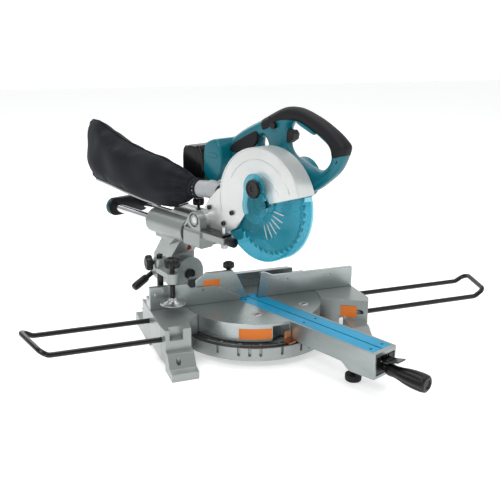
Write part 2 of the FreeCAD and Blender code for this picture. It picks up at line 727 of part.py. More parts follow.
def motor_housing():
    drum = rod(40, (48.1, -24, 306), (118, -24, 306))
    drum = soften(drum, 6, lambda e: e.BoundBox.XMin > 117)
    body = drum.cut(rod(36, (49, -24, 306), (114, -24, 306)))
    for k in range(9):
        a = math.radians(40 * k)
        vent = box(117 - 12, 121, -2, 2, 16, 30)
        vent.rotate(Vector(0, 0, 0), Vector(1, 0, 0), 40 * k)
        vent.translate(Vector(0, -24, 306))
        body = body.cut(vent)
    body = body.cut(rod(9, (40, -24, 306), (50, -24, 306)))
    return body.removeSplitter()



def motor_rotor():
    shaft = rod(5.0, (24, -24, 306), (110, -24, 306))
    core = rod(22, (58, -24, 306), (102, -24, 306))
    pinion = rod(8.0, (24.5, -24, 306), (34, -24, 306))
    return join([shaft, core, pinion])


def handle_outline():
    return [(120, 372), (32, 415), (-10, 436), (-34, 446), (-67, 446), (-115, 430), (-154, 410), (-175, 394),
            (-179, 386), (-171, 361), (-158, 339), (-116, 305), (-98, 297), (-75, 290), (-66, 300)]


def handle_body():
    # one solid of the whole loop handle and neck, later split into shells and rubber
    outer = handle_outline() + [(-40, 347), (10, 347), (60, 330), (112, 330)]
    body = slab(outer, "x", handle_x - handle_half, handle_x + handle_half)
    grip_hole = [(-46, 384), (-60, 370), (-122, 352), (-134, 361), (-138, 369), (-130, 384), (-104, 391),
                 (-78, 408), (-58, 414), (-44, 406)]
    body = body.cut(slab(grip_hole, "x", 20, 90))
    neck_hole = [(33, 384), (20, 388), (8, 372), (14, 358), (36, 362)]
    body = body.cut(slab(neck_hole, "x", 20, 90))
    body = body.cut(rod(41, (30, -24, 306), (130, -24, 306)))
    return body


def grip_zone():
    # rubber covered top and nose of the loop
    return slab([(22, 430), (22, 404), (-18, 424), (-62, 424), (-108, 404), (-140, 390), (-150, 366),
                 (-164, 372), (-190, 372), (-190, 460), (22, 460)], "x", 20, 90)


def handle_shell(side):
    body = handle_body().cut(grip_zone())
    if side < 0:
        half = box(handle_x - 30, handle_x - 0.05, -300, 300, 200, 500)
    else:
        half = box(handle_x + 0.05, handle_x + 30, -300, 300, 200, 500)
    shell = body.common(half)
    # room for switch and trigger
    shell = shell.cut(box(handle_x - 8.5, handle_x + 8.5, -52, -8, 396, 424))
    shell = shell.cut(slab([(-12, 409), (-52, 409), (-60, 400), (-58, 384), (-40, 376), (-29, 385), (-17, 396)],
                           "x", handle_x - 8.2, handle_x + 8.2))
    shell = shell.cut(rod(6.1, (30, -12, 410), (80, -12, 410)))
    return shell.removeSplitter()


def handle_grip():
    body = handle_body().common(grip_zone())
    body = body.cut(box(handle_x - 8.5, handle_x + 8.5, -52, -8, 380, 424.5))
    return body.removeSplitter()


def trigger():
    side = [(-18, 404), (-48, 404), (-54, 398), (-52, 388), (-40, 380), (-33, 386), (-22, 396)]
    body = slab(side, "x", handle_x - 7.5, handle_x + 7.5)
    return body.cut(rod(2.05, (30, -22, 401), (80, -22, 401)))




def lock_off_button():
    return rod(6.0, (handle_x - 22, -12, 410), (handle_x + 22, -12, 410))


def neck_grip():
    # rubber strip laid on the left side of the neck
    return slab([(112, 346), (112, 362), (38, 394), (34, 374), (60, 352)], "x", handle_x - handle_half - 3,
                handle_x - handle_half - 0.1)


def battery_housing():
    side = [(114, 300), (112, 345), (122, 371), (140, 368), (164, 356), (164, 288), (132, 282)]
    body = slab(side, "x", 14, 112)
    body = soften(body, 5, lambda e: along_x(e) and e.BoundBox.ZMax > 340)
    body = body.cut(slab([(120, 302), (118, 340), (126, 363), (140, 361), (158, 350), (158, 294), (134, 288)],
                         "x", 19, 107))
    body = body.cut(handle_body())
    return body.removeSplitter()




def battery(x0):
    body = box(x0, x0 + 47, 166.4, 234, 268, 350)
    body = soften(body, 7, lambda e: along_x(e) and e.BoundBox.YMin > 200)
    rail = box(x0 + 6, x0 + 41, 164.4, 166.4, 285, 345)
    return body.fuse(rail).removeSplitter()


def nozzle_outside():
    outer = cone(16.5, 19, (-6, 87, 274.8), (-6, 112, 276))
    elbow = Part.makeSphere(19, Vector(-6, 112, 276))
    tail = rod(17, (-6, 112, 276), (-12, 158, 272))
    return join([outer, elbow, tail])


def dust_nozzle():
    body = nozzle_outside()
    hollow = join([cone(14, 16, (-6, 84, 274.7), (-6, 113, 276)), Part.makeSphere(16.5, Vector(-6, 112, 276)),
                   rod(14.5, (-6, 112, 276), (-13, 166, 271.3))])
    return body.cut(hollow).removeSplitter()



def dust_bag():
    # filled cloth bag, thickest towards the closed end
    def section(y, low, high, half):
        mid = -14
        corner = 0.28 * (high - low)
        pts = [(mid - half, low + corner), (mid - half, high - corner), (mid - half * 0.4, high),
               (mid + half * 0.4, high), (mid + half, high - corner), (mid + half, low + corner),
               (mid + half * 0.4, low), (mid - half * 0.4, low)]
        corners = [Vector(a, y, b) for a, b in pts]
        return Part.makePolygon(corners + [corners[0]])
    wires = [section(160.5, 254, 291, 18), section(190, 236, 304, 26), section(280, 219, 326, 30),
             section(400, 224, 348, 31), section(500, 234, 368, 27), section(546, 240, 366, 14)]
    return Part.makeLoft(wires, True, True)


def bag_strip():
    rail = slab([(282, 212.5), (282, 217), (400, 221.5), (528, 234), (530, 228), (400, 215.5)], "x", -18, -10)
    return rail.cut(dust_bag())



# ---------------------------------------------------------------- write

def row_parts():
    return {
        "base_casting": base_casting(),
        "rubber_feet": rubber_feet(),
        "mitre_scale": mitre_scale(),
        "table_bolt": table_bolt(),
        "guide_fence": guide_fence(),
        "fence_screws": fence_screws(),
        "sub_fence": sub_fence(),
        "sub_fence_knob": sub_fence_knob(),
        "extension_bar_left": extension_bar(-1),
        "extension_bar_right": extension_bar(1),
        "bar_screw_left": thumb_screw(-195, 66.5),
        "bar_screw_right": thumb_screw(196, 60.5),
        "vise_post": vise_post(),
        "vise_arm": vise_arm(),
        "vise_clamp_screw": vise_clamp_screw(),
        "vise_spindle": vise_spindle(),
        "vise_pad": vise_pad(),
    }


def turned_parts():
    return {
        "turntable": turntable(),
        "kerf_boards": group([kerf_board(-1), kerf_board(1)]),
        "kerf_screws": kerf_screws(),
        "mitre_pointer": mitre_pointer(),
        "arm_foot": arm_foot(),
        "arm_end_plate": arm_end_plate(),
        "mitre_grip": mitre_grip(),
        "detent_lever": detent_lever(),
        "bevel_arm": bevel_arm(),
        "pole_bushes": pole_bushes(),
        "bevel_pin": bevel_pin(),
        "bevel_lever": bevel_lever(),
        "pole_lock_screw": pole_lock_screw(),
        "slide_poles": group([slide_pole(-1), slide_pole(1)]),
        "pole_cap": pole_cap(),
        "carriage": carriage(),
        "pivot_shaft": pivot_shaft(),
        "stop_arm": stop_arm(),
        "depth_screw": depth_screw(),
        "stopper_pin": stopper_pin(),
        "blade_case": blade_case(),
        "case_screws": case_screws(),
        "centre_cover": centre_cover(),
        "cover_cap": cover_cap(),
        "gear_housing": gear_housing(),
        "blade_spindle": blade_spindle(),
        "saw_blade": saw_blade(),
        "outer_flange": outer_flange(),
        "arbor_bolt": arbor_bolt(),
        "lower_guard": lower_guard(),
        "motor_housing": motor_housing(),
        "motor_rotor": motor_rotor(),
        "handle_shell_left": handle_shell(-1),
        "handle_shell_right": handle_shell(1),
        "handle_grip": group([handle_grip(), neck_grip()]),
        "trigger": trigger(),
        "lock_off_button": lock_off_button(),
        "battery_housing": battery_housing(),
        "battery_left": battery(14),
        "battery_right": battery(65),
        "dust_nozzle": dust_nozzle(),
        "dust_bag": dust_bag(),
        "bag_strip": bag_strip(),
    }


for name, shape in row_parts().items():
    shape.exportStep("parts/" + name + ".step")
for name, shape in turned_parts().items():
    shape.rotate(Vector(0, 0, 0), Vector(0, 0, 1), mitre_angle)
    shape.exportStep("parts/" + name + ".step")
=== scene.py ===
import bmesh
import bpy
import json
import math
from mathutils import Matrix, Vector


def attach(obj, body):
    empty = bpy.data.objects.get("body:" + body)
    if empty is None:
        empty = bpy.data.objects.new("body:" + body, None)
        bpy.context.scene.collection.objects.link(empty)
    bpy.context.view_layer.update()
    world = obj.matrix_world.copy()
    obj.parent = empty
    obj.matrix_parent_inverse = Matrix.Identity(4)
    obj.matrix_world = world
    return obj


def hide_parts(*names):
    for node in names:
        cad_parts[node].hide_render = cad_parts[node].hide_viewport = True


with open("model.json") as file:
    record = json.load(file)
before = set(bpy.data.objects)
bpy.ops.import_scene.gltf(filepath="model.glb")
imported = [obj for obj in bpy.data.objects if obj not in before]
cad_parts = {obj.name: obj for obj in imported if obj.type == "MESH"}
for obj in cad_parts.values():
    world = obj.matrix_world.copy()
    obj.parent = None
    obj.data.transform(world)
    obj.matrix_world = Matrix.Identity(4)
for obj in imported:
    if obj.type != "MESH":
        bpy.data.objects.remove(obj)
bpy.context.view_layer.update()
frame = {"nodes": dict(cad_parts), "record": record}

turn = Matrix.Rotation(math.radians(22.5), 4, "Z")  # the saw rests turned 22.5 degrees to the right
millimetre = Matrix.Scale(0.001, 4)


# ---- small node language: maths on sockets reads like maths on numbers

class Sock:
    def __init__(self, shader, out):
        self.shader = shader
        self.out = out

    def maths(self, operation, a, b=None, c=None):
        node = self.shader.tree.nodes.new("ShaderNodeMath")
        node.operation = operation
        for slotIndex, value in enumerate((a, b, c)):
            if value is not None:
                self.shader.feed(node.inputs[slotIndex], value)
        return Sock(self.shader, node.outputs[0])

    def __add__(self, other): return self.maths("ADD", self, other)
    def __radd__(self, other): return self.maths("ADD", other, self)
    def __sub__(self, other): return self.maths("SUBTRACT", self, other)
    def __rsub__(self, other): return self.maths("SUBTRACT", other, self)
    def __mul__(self, other): return self.maths("MULTIPLY", self, other)
    def __rmul__(self, other): return self.maths("MULTIPLY", other, self)
    def __truediv__(self, other): return self.maths("DIVIDE", self, other)
    def __rtruediv__(self, other): return self.maths("DIVIDE", other, self)
    def sin(self): return self.maths("SINE", self)


class Shader:
    def __init__(self, name):
        self.material = bpy.data.materials.new(name)
        self.material.use_nodes = True
        self.tree = self.material.node_tree
        self.tree.nodes.clear()
        self.end = self.tree.nodes.new("ShaderNodeOutputMaterial")
        coords = self.tree.nodes.new("ShaderNodeTexCoord")
        self.place = Sock(self, coords.outputs["Object"])

    def feed(self, socket, value):
        if isinstance(value, Sock):
            self.tree.links.new(value.out, socket)
        elif isinstance(value, (tuple, list)) and len(value) == 3 and socket.type == "RGBA":
            socket.default_value = (*value, 1)
        else:
            socket.default_value = value

    def node(self, nodeType, settings=None, inputs=None, output=0):
        made = self.tree.nodes.new(nodeType)
        for key, value in (settings or {}).items():
            setattr(made, key, value)
        for key, value in (inputs or {}).items():
            self.feed(made.inputs[key], value)
        return Sock(self, made.outputs[output])

    def noise(self, scale, detail=4, roughness=0.55, where=None, output=0):
        return self.node("ShaderNodeTexNoise", {}, {"Vector": where or self.place, "Scale": scale,
                                                    "Detail": detail, "Roughness": roughness}, output)

    def stretch(self, x, y, z, where=None):
        return self.node("ShaderNodeVectorMath", {"operation": "MULTIPLY"},
                         {0: where or self.place, 1: (x, y, z)})

    def mix(self, factor, a, b):
        made = self.tree.nodes.new("ShaderNodeMix")
        made.data_type = "RGBA"
        self.feed(made.inputs["Factor"], factor)
        self.feed(made.inputs[6], a)
        self.feed(made.inputs[7], b)
        return Sock(self, made.outputs[2])

    def ramp(self, value, low, high, outLow=0.0, outHigh=1.0):
        return self.node("ShaderNodeMapRange", {"clamp": True},
                         {"Value": value, "From Min": low, "From Max": high,
                          "To Min": outLow, "To Max": outHigh})

    def split(self, where=None):
        made = self.tree.nodes.new("ShaderNodeSeparateXYZ")
        self.feed(made.inputs[0], where or self.place)
        return [Sock(self, made.outputs[k]) for k in range(3)]

    def bump(self, height, strength, distance, edge=0.0):
        inputs = {"Height": height, "Strength": strength, "Distance": distance}
        if edge:
            inputs["Normal"] = self.node("ShaderNodeBevel", {"samples": 4}, {"Radius": edge})
        return self.node("ShaderNodeBump", {}, inputs)

    def surface(self, **inputs):
        made = self.tree.nodes.new("ShaderNodeBsdfPrincipled")
        for key, value in inputs.items():
            self.feed(made.inputs[key.replace("_", " ")], value)
        return Sock(self, made.outputs[0])

    def done(self, shaded):
        self.tree.links.new(shaded.out, self.end.inputs["Surface"])
        return self.material


def castPaint(name="castPaint", tint=(0.34, 0.37, 0.36), edge=0.0014):
    # satin silver grey paint on an aluminium casting
    s = Shader(name)
    grain = s.noise(620, 3, 0.6)
    cloud = s.noise(9, 4, 0.5)
    dirt = s.ramp(s.noise(38, 6, 0.7), 0.60, 0.8)
    colour = s.mix(s.ramp(cloud, 0.35, 0.7), tint, tuple(v * 0.88 for v in tint))
    colour = s.mix(dirt * 0.3, colour, tuple(v * 0.66 for v in tint))
    rough = s.ramp(cloud, 0.3, 0.7, 0.26, 0.38) + dirt * 0.1
    return s.done(s.surface(Base_Color=colour, Metallic=0.55, Roughness=rough,
                            Normal=s.bump(grain, 0.16, 0.0003, edge), Coat_Weight=0.12, Coat_Roughness=0.3))


def fencePaint():
    # milled face of the fence and table: long shallow cutter marks over the paint
    s = Shader("fencePaint")
    x, y, z = s.split()
    sweep = (x * 900 + s.noise(7, 3, 0.5) * 9).sin()
    cloud = s.noise(6, 4, 0.5, s.stretch(1, 1, 2.2))
    tint = (0.42, 0.46, 0.455)
    colour = s.mix(s.ramp(cloud, 0.35, 0.65), tint, (0.28, 0.31, 0.31))
    rough = s.ramp(cloud, 0.3, 0.7, 0.24, 0.36)
    return s.done(s.surface(Base_Color=colour, Metallic=0.85, Roughness=rough,
                            Normal=s.bump(sweep, 0.05, 0.0002, 0.0012)))


def plainPlastic(name, tint, rough, grainScale=1400, bump=0.15, shine=0.0, edge=0.0008, gloss=0.35):
    s = Shader(name)
    grain = s.noise(grainScale, 2, 0.5)
    cloud = s.noise(14, 4, 0.5)
    wear = s.ramp(s.noise(60, 5, 0.7), 0.64, 0.78)
    colour = s.mix(s.ramp(cloud, 0.35, 0.7), tint, tuple(v * 0.88 for v in tint))
    colour = s.mix(wear * 0.22, colour, tuple(min(1, v * 1.3 + 0.01) for v in tint))
    return s.done(s.surface(Base_Color=colour, Roughness=s.ramp(cloud, 0.3, 0.7, rough, rough + 0.07),
                            Normal=s.bump(grain, bump, 0.0003, edge), Coat_Weight=shine, Coat_Roughness=0.12,
                            Specular_IOR_Level=gloss))


def metal(name, tint, rough, brush=(1, 1, 1), scratch=0.1):
    s = Shader(name)
    grain = s.noise(260, 4, 0.6, s.stretch(*brush))
    cloud = s.noise(24, 3, 0.5)
    colour = s.mix(s.ramp(cloud, 0.35, 0.7), tint, tuple(v * 0.86 for v in tint))
    return s.done(s.surface(Base_Color=colour, Metallic=1.0,
                            Roughness=s.ramp(grain, 0.3, 0.7, rough, rough + scratch),
                            Normal=s.bump(grain, 0.08, 0.0002, 0.0006)))


def clearPlastic(name, tint, density):
    # tinted see-through guard, scuffed by use
    s = Shader(name)
    cloud = s.noise(18, 4, 0.5)
    scuff = s.ramp(s.noise(150, 5, 0.8, s.stretch(1, 1, 0.3)), 0.58, 0.75)
    body = s.surface(Base_Color=s.mix(s.ramp(cloud, 0.35, 0.7), tint, tuple(v * 0.82 for v in tint)),
                     Roughness=s.ramp(cloud, 0.3, 0.7, 0.10, 0.2), Coat_Weight=0.7, Coat_Roughness=0.05)
    clear = s.node("ShaderNodeBsdfTransparent", {}, {"Color": tuple(0.52 + 0.48 * v for v in tint) + (1,)})
    made = s.tree.nodes.new("ShaderNodeMixShader")
    s.feed(made.inputs[0], density + scuff * 0.08)
    s.tree.links.new(clear.out, made.inputs[1])
    s.tree.links.new(body.out, made.inputs[2])
    return s.done(Sock(s, made.outputs[0]))


def bladeSteel():
    # fine rings ground round the arbor, a darker band behind the teeth
    s = Shader("bladeSteel")
    away = s.node("ShaderNodeVectorMath", {"operation": "DISTANCE"},
                  {0: s.place, 1: (turn @ Vector((0, -0.038, 0.272)))[:]}, 1)
    rings = (away * 5200).sin() * 0.5 + 0.5
    cloud = s.noise(14, 4, 0.6)
    colour = s.mix(s.ramp(cloud, 0.3, 0.7), (0.80, 0.82, 0.83), (0.62, 0.64, 0.65))
    colour = s.mix(s.ramp(away, 0.084, 0.09), colour, (0.30, 0.31, 0.32))
    return s.done(s.surface(Base_Color=colour, Metallic=1.0, Roughness=s.ramp(cloud, 0.3, 0.7, 0.22, 0.36),
                            Normal=s.bump(rings, 0.06, 0.0001)))


def bagCloth():
    # plain weave nylon: crossed threads, lighter where it rubs on the folds
    s = Shader("bagCloth")
    x, y, z = s.split()
    warp = ((x * 0.38 + y * 0.92) * 4200).sin() * 0.5 + 0.5
    weft = (z * 4200).sin() * 0.5 + 0.5
    cloud = s.noise(11, 5, 0.6)
    lint = s.ramp(s.noise(420, 4, 0.7), 0.62, 0.75)
    colour = s.mix(s.ramp(cloud, 0.3, 0.7), (0.006, 0.0075, 0.011), (0.011, 0.013, 0.018))
    colour = s.mix(lint * 0.06, colour, (0.09, 0.095, 0.10))
    return s.done(s.surface(Base_Color=colour, Roughness=s.ramp(cloud, 0.3, 0.7, 0.72, 0.86),
                            Sheen_Weight=0.06, Sheen_Roughness=0.5, Specular_IOR_Level=0.15,
                            Normal=s.bump(warp * weft + cloud * 0.6, 0.35, 0.0004)))


def scalePlate():
    s = Shader("scalePlate")
    cloud = s.noise(30, 4, 0.6)
    colour = s.mix(s.ramp(cloud, 0.35, 0.7), (0.016, 0.016, 0.018), (0.03, 0.03, 0.032))
    return s.done(s.surface(Base_Color=colour, Roughness=s.ramp(cloud, 0.3, 0.7, 0.3, 0.42),
                            Normal=s.bump(cloud, 0.05, 0.0002)))


palette = {
    "cast_grey": castPaint(),
    "machined": metal("copperPointer", (0.72, 0.34, 0.17), 0.25, (1, 1, 0.2)),
    "scale_black": scalePlate(),
    "teal_plastic": plainPlastic("tealPlastic", (0.0, 0.15, 0.20), 0.25, 1400, 0.08, 0.2),
    "black_plastic": plainPlastic("blackPlastic", (0.005, 0.005, 0.006), 0.3, 1400, 0.12, 0.1, 0.0008, 0.3),
    "black_rubber": plainPlastic("blackRubber", (0.010, 0.010, 0.012), 0.5, 900, 0.3, 0.0, 0.0008, 0.25),
    "board_blue": plainPlastic("boardBlue", (0.0, 0.33, 0.58), 0.30, 900, 0.12, 0.1, 0.0008, 0.2),
    "chrome": metal("chrome", (0.80, 0.81, 0.83), 0.06, (1, 1, 1), 0.04),
    "zinc": metal("zinc", (0.60, 0.61, 0.62), 0.25),
    "black_steel": plainPlastic("blackSteel", (0.003, 0.003, 0.004), 0.2, 700, 0.08, 0.15),
    "clear_teal": clearPlastic("clearTeal", (0.03, 0.55, 0.68), 0.17),
    "bag_cloth": bagCloth(),
    "bag_clip": plainPlastic("bagClip", (0.62, 0.62, 0.62), 0.4),
    "nozzle_grey": plainPlastic("nozzleGrey", (0.42, 0.44, 0.45), 0.33),
}
extra = {
    "milled": fencePaint(),
    "blade": bladeSteel(),
    "orange": plainPlastic("orangeSticker", (0.75, 0.19, 0.02), 0.4, 500, 0.05),
    "paleMark": plainPlastic("paleMark", (0.62, 0.63, 0.62), 0.45, 500, 0.05),
    "redMark": plainPlastic("redMark", (0.30, 0.015, 0.02), 0.4, 500, 0.05),
    "caseSilver": castPaint("caseSilver", (0.70, 0.72, 0.71)),
}

slots = {part["node"]: part["material_slot"] for part in frame["record"]["subparts"]}
for name, obj in frame["nodes"].items():
    obj.data.materials.clear()
    obj.data.materials.append(palette[slots[name]])
for name in ("guide_fence", "sub_fence", "turntable"):
    frame["nodes"][name].data.materials[0] = extra["milled"]
frame["nodes"]["saw_blade"].data.materials[0] = extra["blade"]
frame["nodes"]["blade_case"].data.materials[0] = extra["caseSilver"]
print("materials ready")


# ---- how pieces are made: millimetres, saw arm straight, then turned and scaled once

def finishPiece(name, mesh, body, slotName, replaced=(), turned=True, material=None, sharp=38):
    mesh.transform((turn @ millimetre) if turned else millimetre)
    bm = bmesh.new()
    bm.from_mesh(mesh)
    bmesh.ops.remove_doubles(bm, verts=bm.verts, dist=0.00002)
    bmesh.ops.recalc_face_normals(bm, faces=bm.faces)
    bm.to_mesh(mesh)
    bm.free()
    mesh.shade_smooth()
    mesh.set_sharp_from_angle(angle=math.radians(sharp))
    mesh.materials.clear()
    mesh.materials.append(material or palette[slotName])
    obj = bpy.data.objects.new(name, mesh)
    bpy.context.scene.collection.objects.link(obj)
    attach(obj, body)
    if replaced:
        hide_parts(*replaced)
    return obj


def meshFrom(obj, name):
    # plain mesh of an object with its modifiers or bevel, the object is thrown away
    bpy.context.scene.collection.objects.link(obj)
    graph = bpy.context.evaluated_depsgraph_get()
    mesh = bpy.data.meshes.new_from_object(obj.evaluated_get(graph))
    mesh.name = name
    bpy.data.objects.remove(obj)
    return mesh


def joinMeshes(meshes, name):
    bm = bmesh.new()
    for mesh in meshes:
        bm.from_mesh(mesh)
    whole = bpy.data.meshes.new(name)
    bm.to_mesh(whole)
    bm.free()
    return whole


def easeOutline(points, rounds=2, share=0.22):
    # cuts the corners of a closed outline so that it flows
    for _ in range(rounds):
        cut = []
        for a, b in zip(points, points[1:] + points[:1]):
            cut.append((a[0] + (b[0] - a[0]) * share, a[1] + (b[1] - a[1]) * share))
            cut.append((b[0] - (b[0] - a[0]) * share, b[1] - (b[1] - a[1]) * share))
        points = cut
    return points


def plateBody(name, outline, holes, axis, low, high, rounding, ease=2):
    # flat outline with holes, pushed along one axis, its rims rolled over by "rounding"
    curve = bpy.data.curves.new(name, "CURVE")
    curve.dimensions = "2D"
    curve.fill_mode = "BOTH"
    curve.bevel_depth = rounding
    curve.bevel_resolution = 4
    curve.offset = -rounding
    curve.extrude = max(0.0, 0.5 * (high - low) - rounding)
    for points in [outline] + list(holes):
        points = easeOutline(list(points), ease) if ease else points
        spline = curve.splines.new("POLY")
        spline.points.add(len(points) - 1)
        for spot, (u, v) in zip(spline.points, points):
            spot.co = (u, v, 0, 1)
        spline.use_cyclic_u = True
    mesh = meshFrom(bpy.data.objects.new(name, curve), name)
    middle = 0.5 * (low + high)
    if axis == "x":
        place = Matrix(((0, 0, 1, middle), (1, 0, 0, 0), (0, 1, 0, 0), (0, 0, 0, 1)))
    elif axis == "y":
        place = Matrix(((1, 0, 0, 0), (0, 0, 1, middle), (0, 1, 0, 0), (0, 0, 0, 1)))
    else:
        place = Matrix.Translation((0, 0, middle))
    mesh.transform(place)
    return mesh


def lathe(profile, start, axis, segments=48, lobes=0, depth=0.0, span=(0.0, 0.0), name="lathe"):
    # rings (distance along the axis, radius); lobes scallop the rings inside "span"
    bm = bmesh.new()
    along = Vector(axis).normalized()
    side = along.orthogonal().normalized()
    other = along.cross(side)
    rings = []
    for reach, radius in profile:
        ring = []
        for k in range(segments):
            angle = 2 * math.pi * k / segments
            size = radius
            if lobes and span[0] <= reach <= span[1]:
                size = radius * (1 - depth * (0.5 - 0.5 * math.cos(lobes * angle)) ** 1.6)
            ring.append(bm.verts.new(Vector(start) + along * reach
                                     + (side * math.cos(angle) + other * math.sin(angle)) * size))
        rings.append(ring)
    for a, b in zip(rings[:-1], rings[1:]):
        for k in range(segments):
            bm.faces.new((a[k], a[(k + 1) % segments], b[(k + 1) % segments], b[k]))
    bm.faces.new(rings[0][::-1])
    bm.faces.new(rings[-1])
    mesh = bpy.data.meshes.new(name)
    bm.to_mesh(mesh)
    bm.free()
    return mesh


def drum(low, high, radius, edge=1.0):
    # profile of a round bar with rolled ends
    return [(low, radius - edge), (low + edge * 0.3, radius - edge * 0.3), (low + edge, radius),
            (high - edge, radius), (high - edge * 0.3, radius - edge * 0.3), (high, radius - edge)]


def bendPath(points, radius, steps=8):
    # straight runs joined by arcs
    path = [Vector(points[0])]
    for before, corner, after in zip(points[:-2], points[1:-1], points[2:]):
        corner = Vector(corner)
        back = (Vector(before) - corner).normalized()
        ahead = (Vector(after) - corner).normalized()
        half = 0.5 * back.angle(ahead)
        reach = radius / math.tan(half)
        middle = corner + (back + ahead).normalized() * (radius / math.sin(half))
        first = corner + back * reach - middle
        last = corner + ahead * reach - middle
        reachOut = first.length
        for k in range(steps + 1):
            path.append(middle + first.lerp(last, k / steps).normalized() * reachOut)
    path.append(Vector(points[-1]))
    return path


def wire(name, path, radius, sides=6):
    curve = bpy.data.curves.new(name, "CURVE")
    curve.dimensions = "3D"
    curve.bevel_depth = radius
    curve.bevel_resolution = sides
    curve.use_fill_caps = True
    spline = curve.splines.new("POLY")
    spline.points.add(len(path) - 1)
    for spot, where in zip(spline.points, path):
        spot.co = (*where, 1)
    return meshFrom(bpy.data.objects.new(name, curve), name)


def trimmed(mesh, other, operation):
    # exact boolean of two closed meshes
    body = bpy.data.objects.new("body", mesh)
    tool = bpy.data.objects.new("tool", other)
    bpy.context.scene.collection.objects.link(tool)
    cut = body.modifiers.new("cut", "BOOLEAN")
    cut.operation = operation
    cut.solver = "EXACT"
    cut.object = tool
    made = meshFrom(body, mesh.name)
    bpy.data.objects.remove(tool)
    return made


# ---- loop handle: two teal shells, rubber over the top and nose, rubber pad on the neck

handle = {
    "middle": 54.5, "half": 14, "rounding": 11,
    "outline": [(120, 368), (78, 395), (32, 415), (-10, 436), (-34, 445.5), (-67, 445.5), (-115, 430),
                (-154, 410), (-175, 394), (-179, 386), (-171, 361), (-158, 339), (-116, 305), (-98, 297),
                (-75, 290), (-66, 300), (-40, 345), (10, 345), (60, 326), (112, 326)],
    "loop": [(-36, 374), (-52, 356), (-112, 338), (-132, 344), (-146, 362), (-142, 384), (-110, 402),
             (-78, 417), (-56, 422), (-38, 410)],
    "neckGap": [(33, 384), (20, 388), (8, 372), (14, 358), (36, 362)],
    "rubberZone": [(26, 470), (26, 396), (4, 404), (-18, 421), (-62, 424), (-104, 410), (-140, 396),
                   (-150, 366), (-166, 372), (-200, 380), (-200, 470)],
}


def makeHandle():
    low, high = handle["middle"] - handle["half"], handle["middle"] + handle["half"]
    whole = plateBody("handleWhole", handle["outline"], [handle["loop"], handle["neckGap"]], "x", low, high,
                      handle["rounding"], 3)
    zone = plateBody("rubberZone", handle["rubberZone"], [], "x", low - 20, high + 20, 0, 2)
    bm = bmesh.new()
    bm.from_mesh(whole)
    bmesh.ops.remove_doubles(bm, verts=bm.verts, dist=0.02)
    bmesh.ops.recalc_face_normals(bm, faces=bm.faces)
    bm.to_mesh(whole)
    bm.free()
    grip = trimmed(whole.copy(), zone.copy(), "INTERSECT")
    shells = trimmed(whole.copy(), zone.copy(), "DIFFERENCE")
    bm = bmesh.new()
    bm.from_mesh(grip)
    bmesh.ops.recalc_face_normals(bm, faces=bm.faces)
    bm.normal_update()
    for vert in bm.verts:
        vert.co += vert.normal * 0.45  # rubber stands a little proud of the shell
    bm.to_mesh(grip)
    bm.free()
    for side, sideName in ((-1, "left"), (1, "right")):
        half = shells.copy()
        bm = bmesh.new()
        bm.from_mesh(half)
        seam = handle["middle"] + side * 0.25
        cut = bmesh.ops.bisect_plane(bm, geom=bm.verts[:] + bm.edges[:] + bm.faces[:], plane_co=(seam, 0, 0),
                                     plane_no=(side, 0, 0), clear_inner=True)
        edges = [e for e in cut["geom_cut"] if isinstance(e, bmesh.types.BMEdge)]
        bmesh.ops.triangle_fill(bm, use_beauty=True, use_dissolve=False, edges=edges)
        bm.to_mesh(half)
        bm.free()
        finishPiece("handleShell" + sideName.capitalize(), half, "head", "teal_plastic",
                    ("handle_shell_" + sideName,), sharp=50)
    finishPiece("handleRubber", grip, "head", "black_rubber", ("handle_grip",), sharp=50)
    left = handle["middle"] - handle["half"]
    pad = plateBody("neckPad", [(112, 345), (108, 362), (60, 386), (36, 397), (31, 380), (40, 366),
                                (66, 350)], [],
                    "x", left - 3.2, left + 6, 2.6, 2)
    finishPiece("neckPad", pad, "head", "black_rubber", ("handle_grip",))
    inlay = plateBody("gripInlay", [(-66, 424), (-66, 419), (-88, 410), (-108, 402), (-112, 405),
                                    (-92, 415)], [],
                      "x", left - 0.9, left + 4, 0.8, 2)
    finishPiece("gripInlay", inlay, "head", "teal_plastic")
    for y, z in ((4, 421), (-60, 312), (70, 352), (-160, 362)):
        screw = lathe(drum(0, 1.2, 3.4, 0.4) + [(1.2, 1.4), (0.4, 1.2)], (left + 1.4, y, z), (-1, 0, 0), 24)
        finishPiece("shellScrew%d_%d" % (abs(y), z), screw, "head", "black_steel")


# ---- motor drum, battery shoe and the two batteries

power = {"shoe": [(112, 296), (110, 346), (121, 371), (141, 370), (166, 357), (166, 288), (134, 281)],
         "left": 14, "right": 112}


